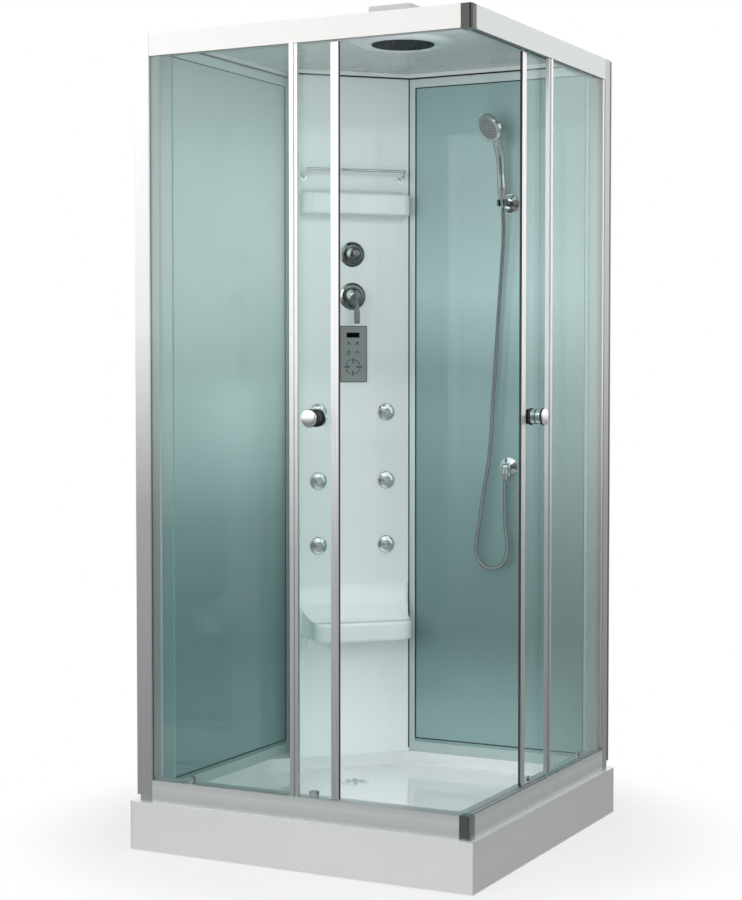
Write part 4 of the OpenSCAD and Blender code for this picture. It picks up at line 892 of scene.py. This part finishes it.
CHROME = surface("chrome", (0.90, 0.91, 0.92), 0.045, metallic=1.0, spread=0.02,
                 rough_spread=0.02, bump=0.012, bump_scale=25.0)
# Painted reflection: this chrome paints a dark room's reflection round its outline.
CHROMED_PLASTIC = rim_chrome("chromed_plastic", (0.86, 0.88, 0.89), (0.03, 0.035, 0.035))
# Painted reflection and highlight: a dark base for the room it mirrors, white where the normal faces the
# window.
PAINTED_LIGHT_CHROME = lit_chrome("painted_light_chrome", (1.0, 1.0, 1.0), (0.19, 0.205, 0.205), (0.01, 0.012, 0.012),
                         window=(0.0, -0.98, 0.2), low=0.80, high=0.94)
# Painted reflections round the outlines of the knobs, the hand shower and the hose.
KNOB_SATIN = rim_chrome("knob_chrome", (0.86, 0.88, 0.89), (0.16, 0.20, 0.20), 0.22, 3.0)
HANDSET_CHROME = rim_chrome("handset_chrome", (0.78, 0.80, 0.80), (0.02, 0.024, 0.024), 0.06, 1.1)
LEVER_SATIN = surface("lever_satin", (0.22, 0.235, 0.24), 0.32, metallic=0.8, spread=0.06, mottle=40.0)
HOSE_STEEL = rim_chrome("hose_steel", (0.42, 0.43, 0.435), (0.03, 0.03, 0.03), 0.2, 1.1)
# Painted reflection: the corner caps' chrome is darkened for the dark room it mirrors, less so on the low
# caps.
CAP_CHROME = graded("cap_chrome", [
    (0.14, (0.28, 0.30, 0.30)), (1.90, (0.09, 0.09, 0.085)), (2.20, (0.085, 0.085, 0.08)),
], "Z", 0.12, 1.0)
BRACKET = surface("bracket_metal", (0.55, 0.56, 0.57), 0.3, metallic=0.9, spread=0.08, mottle=25.0)
NOZZLE = surface("nozzle_face", (0.60, 0.62, 0.64), 0.18, metallic=0.8, spread=0.05, mottle=60.0)
BRASS = surface("brass_pipe", (0.72, 0.54, 0.27), 0.28, metallic=1.0, spread=0.14, mottle=18.0,
                rough_spread=0.12, bump=0.08, bump_scale=80.0)
STEEL_TUBE = surface("painted_tube", (0.16, 0.165, 0.17), 0.45, spread=0.15, mottle=12.0, bump=0.15,
                     bump_scale=120.0)

# Acrylic, plastic, rubber and print

ACRYLIC = surface("white_acrylic", (0.84, 0.855, 0.86), 0.16, coat=0.6, spread=0.012, mottle=3.0,
                  bump=0.03, bump_scale=9.0)
# Painted shade on the column: darker from 0.85 to 1.33 m where less light falls, lighter below and above.
COLUMN = graded("column_acrylic", [
    (0.14, (0.91, 0.95, 0.96)), (0.50, (0.90, 0.94, 0.95)), (0.62, (0.87, 0.91, 0.92)),
    (0.85, (0.72, 0.76, 0.77)), (1.05, (0.62, 0.655, 0.66)), (1.33, (0.74, 0.78, 0.79)),
    (1.70, (0.81, 0.85, 0.86)), (2.15, (0.85, 0.89, 0.90)),
], "", 0.14, 0.0, 0.8, 0.03, 0.012)
# Painted shade: the ceiling's white acrylic is given a grey colour for the shade it lies in.
CEILING = surface("ceiling_acrylic", (0.56, 0.59, 0.59), 0.3, coat=0.25, coat_roughness=0.16, spread=0.01,
                  mottle=2.0, bump=0.015, bump_scale=5.0)
RING = surface("ring_plastic", (0.62, 0.66, 0.69), 0.2, coat=0.7, spread=0.03)
SHOWER_FACE = surface("shower_face", (0.015, 0.02, 0.024), 0.45, spread=0.3, mottle=30.0, ior=1.12)
SPRAY_FACE = surface("spray_face", (0.30, 0.305, 0.31), 0.34, metallic=0.3, spread=0.05, mottle=50.0)
KEYPAD = surface("key_panel", (0.225, 0.25, 0.25), 0.36, metallic=0.35, coat=0.3, spread=0.02,
                 mottle=3.0, bump=0.02, bump_scale=8.0, stretch=(60, 60, 1.5))
KEY_PRINT = surface("key_print", (0.03, 0.034, 0.036), 0.5, spread=0.2, mottle=60.0, ior=1.15)
KEY_BLUE = surface("key_blue", (0.018, 0.032, 0.065), 0.5, spread=0.2, mottle=60.0, ior=1.15)
KEY_GLASS = surface("key_window", (0.003, 0.003, 0.004), 0.4, spread=0.3, mottle=60.0, ior=1.1)
RUBBER = surface("black_rubber", (0.02, 0.021, 0.024), 0.55, spread=0.2, mottle=60.0, bump=0.2,
                 bump_scale=300.0)
FOOT = surface("foot_plastic", (0.05, 0.05, 0.055), 0.5, spread=0.15, mottle=40.0, bump=0.15,
               bump_scale=220.0)
TRAP = surface("trap_plastic", (0.66, 0.67, 0.68), 0.4, spread=0.05, mottle=14.0, bump=0.1,
               bump_scale=150.0)
ROLLER = surface("roller_plastic", (0.85, 0.85, 0.84), 0.35, spread=0.04, mottle=60.0)

# Glass

PANE_TINT = (0.93, 0.968, 0.96)
PANE_EDGE_TINT = (0.28, 0.55, 0.47)
FRONT_GLASS_LEFT = pane("front_glass_left", PANE_TINT, PANE_EDGE_TINT, "Y")
FRONT_GLASS_RIGHT = pane("front_glass_right", PANE_TINT, PANE_EDGE_TINT, "X", 0.62)
# Painted light on the left back wall: dark teal low down, a painted reflection that makes it almost white
# from 1.2 to 1.85 m, darker again at the top.
BACK_GLASS_LEFT = coated_glass("back_glass_left", [
    (0.20, (0.20, 0.335, 0.345)), (0.60, (0.21, 0.33, 0.34)), (0.85, (0.26, 0.38, 0.39)),
    (1.20, (0.63, 0.77, 0.77)), (1.60, (0.91, 0.96, 0.96)), (1.85, (0.90, 0.95, 0.93)),
    (2.10, (0.62, 0.70, 0.68)),
])
# Painted light on the right back wall: painted shade from 0.5 to 1.2 m, lighter near the floor and a painted
# reflection round 1.5 m.
BACK_GLASS_RIGHT = coated_glass("back_glass_right", [
    (0.20, (0.28, 0.42, 0.42)), (0.50, (0.16, 0.25, 0.25)), (0.90, (0.18, 0.28, 0.285)),
    (1.22, (0.22, 0.34, 0.345)), (1.50, (0.46, 0.62, 0.63)), (1.80, (0.36, 0.50, 0.50)),
    (2.10, (0.36, 0.52, 0.52)),
])

# Profiles

# Painted light on the bottom rails: a painted highlight on the top strip above 0.1935 m, painted shade just
# under it and darker towards the bottom.
RAIL_STOPS = [
    (0.14, (0.62, 0.66, 0.66)), (0.17, (0.74, 0.78, 0.78)), (0.193, (0.60, 0.63, 0.63)),
    (0.1935, (0.90, 0.89, 0.88)), (0.20, (0.92, 0.91, 0.90)),
]
RAIL_X = graded("rail_along_x", RAIL_STOPS, "X", 0.36, 0.55)
RAIL_Y = graded("rail_along_y", RAIL_STOPS, "Y", 0.36, 0.55)
TOP_RAIL_X = graded("top_rail_along_x", [
    (2.0, (0.76, 0.75, 0.73)), (2.2, (0.73, 0.72, 0.71)),
], "X", 0.42, 0.75)
TOP_RAIL_Y = graded("top_rail_along_y", [
    (2.0, (0.72, 0.76, 0.75)), (2.2, (0.73, 0.77, 0.76)),
], "Y", 0.42, 0.70)
# Painted light on the left post: dark below 0.9 m, a painted highlight almost white from 1.4 m up.
POST = graded("post_profile", [
    (0.14, (0.38, 0.385, 0.39)), (0.90, (0.44, 0.445, 0.45)), (1.40, (0.92, 0.92, 0.92)),
    (2.20, (0.98, 0.98, 0.98)),
], "Z")
# Painted shade: the right post is a darker copy of the left one, for its side away from the light, lighter
# towards the top.
POST_RIGHT = graded("post_profile_right", [
    (0.14, (0.42, 0.43, 0.43)), (0.90, (0.45, 0.46, 0.46)), (1.40, (0.62, 0.64, 0.64)),
    (2.20, (0.66, 0.68, 0.68)),
], "Z")
# Painted light on the glass edges: darker towards the bottom, a painted highlight almost white from 1.3 m
# up.
EDGE = graded("edge_profile", [
    (0.14, (0.49, 0.51, 0.515)), (0.80, (0.58, 0.60, 0.60)), (1.30, (0.96, 0.96, 0.96)),
    (2.20, (0.99, 0.99, 0.99)),
], "Z", 0.30, 0.6)
# Painted light on the inner frames and trims: darker towards the bottom, lighter towards the top.
INNER_FRAME = graded("inner_frame", [
    (0.14, (0.52, 0.62, 0.62)), (1.20, (0.66, 0.75, 0.75)), (2.20, (0.82, 0.90, 0.90)),
], "Z", 0.4, 0.25)

NODE_MATERIALS = {
    "tray": ACRYLIC, "tray_frame": STEEL_TUBE, "feet": FOOT, "drain_trap": TRAP,
    "drain_grid": CHROME, "bottom_rail_left": RAIL_X, "bottom_rail_right": RAIL_Y,
    "top_rail_left": TOP_RAIL_X, "top_rail_right": TOP_RAIL_Y, "corner_caps": CAP_CHROME,
    "post_left": POST, "post_right": POST_RIGHT, "fixed_glass_left": FRONT_GLASS_LEFT,
    "fixed_glass_right": FRONT_GLASS_RIGHT, "fixed_edge_left": EDGE, "fixed_edge_right": EDGE,
    "back_frame_left": INNER_FRAME, "back_frame_right": INNER_FRAME,
    "back_glass_left": BACK_GLASS_LEFT, "back_glass_right": BACK_GLASS_RIGHT,
    "column": COLUMN, "valve_pipes": BRASS, "roof": CEILING, "rain_ring": RING,
    "rain_head": SHOWER_FACE, "control_box": ACRYLIC, "towel_rail": CHROME,
    "diverter_plate": PAINTED_LIGHT_CHROME, "diverter_knob": CHROMED_PLASTIC, "mixer_plate": PAINTED_LIGHT_CHROME,
    "mixer_dome": PAINTED_LIGHT_CHROME, "mixer_lever": LEVER_SATIN, "keypad": KEYPAD,
    "jet_bezels": CHROMED_PLASTIC, "handset_holder": PAINTED_LIGHT_CHROME, "handset": HANDSET_CHROME,
    "handset_nut": HANDSET_CHROME, "outlet_nut": CHROMED_PLASTIC, "wall_outlet": CHROMED_PLASTIC,
}
for number in range(1, 7):
    NODE_MATERIALS["jet_nozzle_%d" % number] = NOZZLE
for side, glass in (("left", FRONT_GLASS_LEFT), ("right", FRONT_GLASS_RIGHT)):
    NODE_MATERIALS[side + "_door_glass"] = glass
    NODE_MATERIALS[side + "_door_edge"] = EDGE
    NODE_MATERIALS[side + "_door_seal"] = RUBBER
    NODE_MATERIALS[side + "_door_knob"] = CHROMED_PLASTIC
    NODE_MATERIALS[side + "_door_hardware"] = BRACKET
    NODE_MATERIALS[side + "_roller_front"] = ROLLER
    NODE_MATERIALS[side + "_roller_rear"] = ROLLER
PIECE_MATERIALS = [
    (HOSE, HOSE_STEEL), (DIVERTER, PAINTED_LIGHT_CHROME), (KEY_SIGNS, KEY_PRINT), (KEY_TICKS, KEY_BLUE),
    (KEY_WINDOW, KEY_GLASS), (SPRAY_PLATE, SPRAY_FACE), (SPRAY_NUBS, RUBBER), (SEAT_BACK, COLUMN),
    (WALL_SEALS, RUBBER), (CEILING_LIP, COLUMN), (GLASS_TRIMS, INNER_FRAME), (POST_LIP, POST_RIGHT),
    (PANE_BEAD, EDGE), (DOOR_LIP, EDGE), (RIGHT_CHANNEL, EDGE), (RIGHT_PANE, FRONT_GLASS_RIGHT),
]
for knob, rings in KNOBS:
    PIECE_MATERIALS += [(knob, KNOB_SATIN), (rings, RUBBER)]


def dress(obj, material):
    """Puts a material in every slot of an object."""
    if not obj.material_slots:
        obj.data.materials.append(material)
    for slot in obj.material_slots:
        slot.material = material


for node_name, material in NODE_MATERIALS.items():
    dress(frame["nodes"][node_name], material)
for piece, material in PIECE_MATERIALS:
    dress(piece, material)

# Floor: a pale disc that fades into the white backdrop

FLOOR_RINGS = (0.9, 1.8, 4.0)
FLOOR_SIDES = 64
FLOOR_FADE = (0.62, 1.1)
FLOOR_CLEAR = (0.72, 1.0)
FLOOR_WHITE = (0.93, 0.93, 0.93)


def add_floor():
    """The floor's disc, more see-through the further it is from the object."""
    sides = FLOOR_SIDES
    points = [(0, 0, 0)]
    for r in FLOOR_RINGS:
        for i in range(sides):
            a = 2 * math.pi * i / sides
            points.append((r * math.cos(a), r * math.sin(a), 0))
    faces = [(0, 1 + i, 1 + (i + 1) % sides) for i in range(sides)]
    for j in range(len(FLOOR_RINGS) - 1):
        a, b = 1 + j * sides, 1 + (j + 1) * sides
        for i in range(sides):
            k = (i + 1) % sides
            faces.append((a + i, b + i, b + k, a + k))
    floor = mesh_object("floor", points, faces)
    n = new_material("pale_floor")
    distance = n.add("ShaderNodeVectorMath", {0: n.here()}, operation="LENGTH").outputs["Value"]
    fade = n.ramp(distance, *FLOOR_CLEAR, *FLOOR_FADE, "SMOOTHSTEP")
    solid = n.add("ShaderNodeBsdfDiffuse", {"Color": rgba(*FLOOR_WHITE)}).outputs[0]
    clear = n.add("ShaderNodeBsdfTransparent").outputs[0]
    dress(floor, n.finish(n.mix_shaders(fade, solid, clear)))


# Backdrop: strengths of the even fill and of what mirrors see low, high, to the right and behind

FILL = 0.28
MIRROR_LOW = 0.25
MIRROR_HIGH = 1.45
MIRROR_RIGHT_LOW = 0.42
MIRROR_RIGHT_HIGH = 1.25
MIRROR_BEHIND = 0.12
BEHIND_AT = (0.45, -0.88, 0.1)
SOFTBOX = 4.0
SOFTBOX_AT = Vector((-0.75, -0.5, 0.43)).normalized()


def add_world():
    """White to look at, an even fill for light, and bright and dark zones for what mirrors show."""
    world = bpy.data.worlds.new("studio")
    bpy.context.scene.world = world
    n = Nodes(world, "ShaderNodeOutputWorld")

    def zone(value, low, high, to_low, to_high):
        """One strength below low, another above high, with a soft change between."""
        return n.ramp(value, to_low, to_high, low, high, "SMOOTHSTEP")

    def background(colour):
        """Light of one colour from every direction, or of a strength for each."""
        return n.add("ShaderNodeBackground", {"Color": colour}).outputs[0]

    direction = n.add("ShaderNodeTexCoord").outputs["Generated"]
    split = n.add("ShaderNodeSeparateXYZ", {"Vector": direction}).outputs
    sides = n.add("ShaderNodeMix", {
        "Factor": zone(split["X"], -0.1, 0.5, 0.0, 1.0),
        "A": zone(split["Z"], -0.14, 0.06, MIRROR_LOW, MIRROR_HIGH),
        "B": zone(split["Z"], -0.14, 0.06, MIRROR_RIGHT_LOW, MIRROR_RIGHT_HIGH),
    }, data_type="FLOAT").outputs[0]
    behind = zone(n.dot(direction, BEHIND_AT), 0.86, 0.96, 1.0, MIRROR_BEHIND)
    softbox = zone(n.dot(direction, SOFTBOX_AT), 0.960, 0.972, 0.0, SOFTBOX)
    mirrored = n.compute("ADD", n.compute("MULTIPLY", sides, behind), softbox)
    rays = n.add("ShaderNodeLightPath").outputs
    either = n.mix_shaders(rays["Is Glossy Ray"], background(rgba(FILL, FILL, FILL * 1.01)),
                           background(mirrored))
    n.finish(n.mix_shaders(rays["Is Camera Ray"], either, background(rgba(1, 1, 1))))


# Lights: name, place, target, size and watts

LIGHTS = [
    ("key", (0.2, -4.4, 1.6), (0, 0, 1.1), (2.4, 2.4), 90),
    ("side", (4.0, 0.2, 2.2), (0.2, 0, 1.1), (1.6, 2.0), 22),
    ("corner", (0.28, -0.28, 1.6), (-0.3, 0.3, 1.6), (0.3, 1.1), 1.8),
    ("middle", (0.06, -0.06, 1.25), (0.0, 0.0, 0.1), (0.5, 0.5), 1.8),
    ("basin", (0.05, -0.05, 0.46), (0.05, -0.0501, 0.0), (0.5, 0.5), 0.75),
]


def add_area(name, at, target, size, watts):
    """A soft rectangular light that neither the camera nor a mirror sees."""
    data = bpy.data.lights.new(name, "AREA")
    data.shape = "RECTANGLE"
    data.size, data.size_y = size
    data.energy = watts
    light = bpy.data.objects.new(name, data)
    light.location = at
    light.visible_camera = False
    light.visible_glossy = False
    light.rotation_euler = (Vector(target) - Vector(at)).to_track_quat("-Z", "Y").to_euler()
    bpy.context.collection.objects.link(light)


add_floor()
add_world()
for light in LIGHTS:
    add_area(*light)
bpy.context.scene.view_settings.view_transform = "Standard"
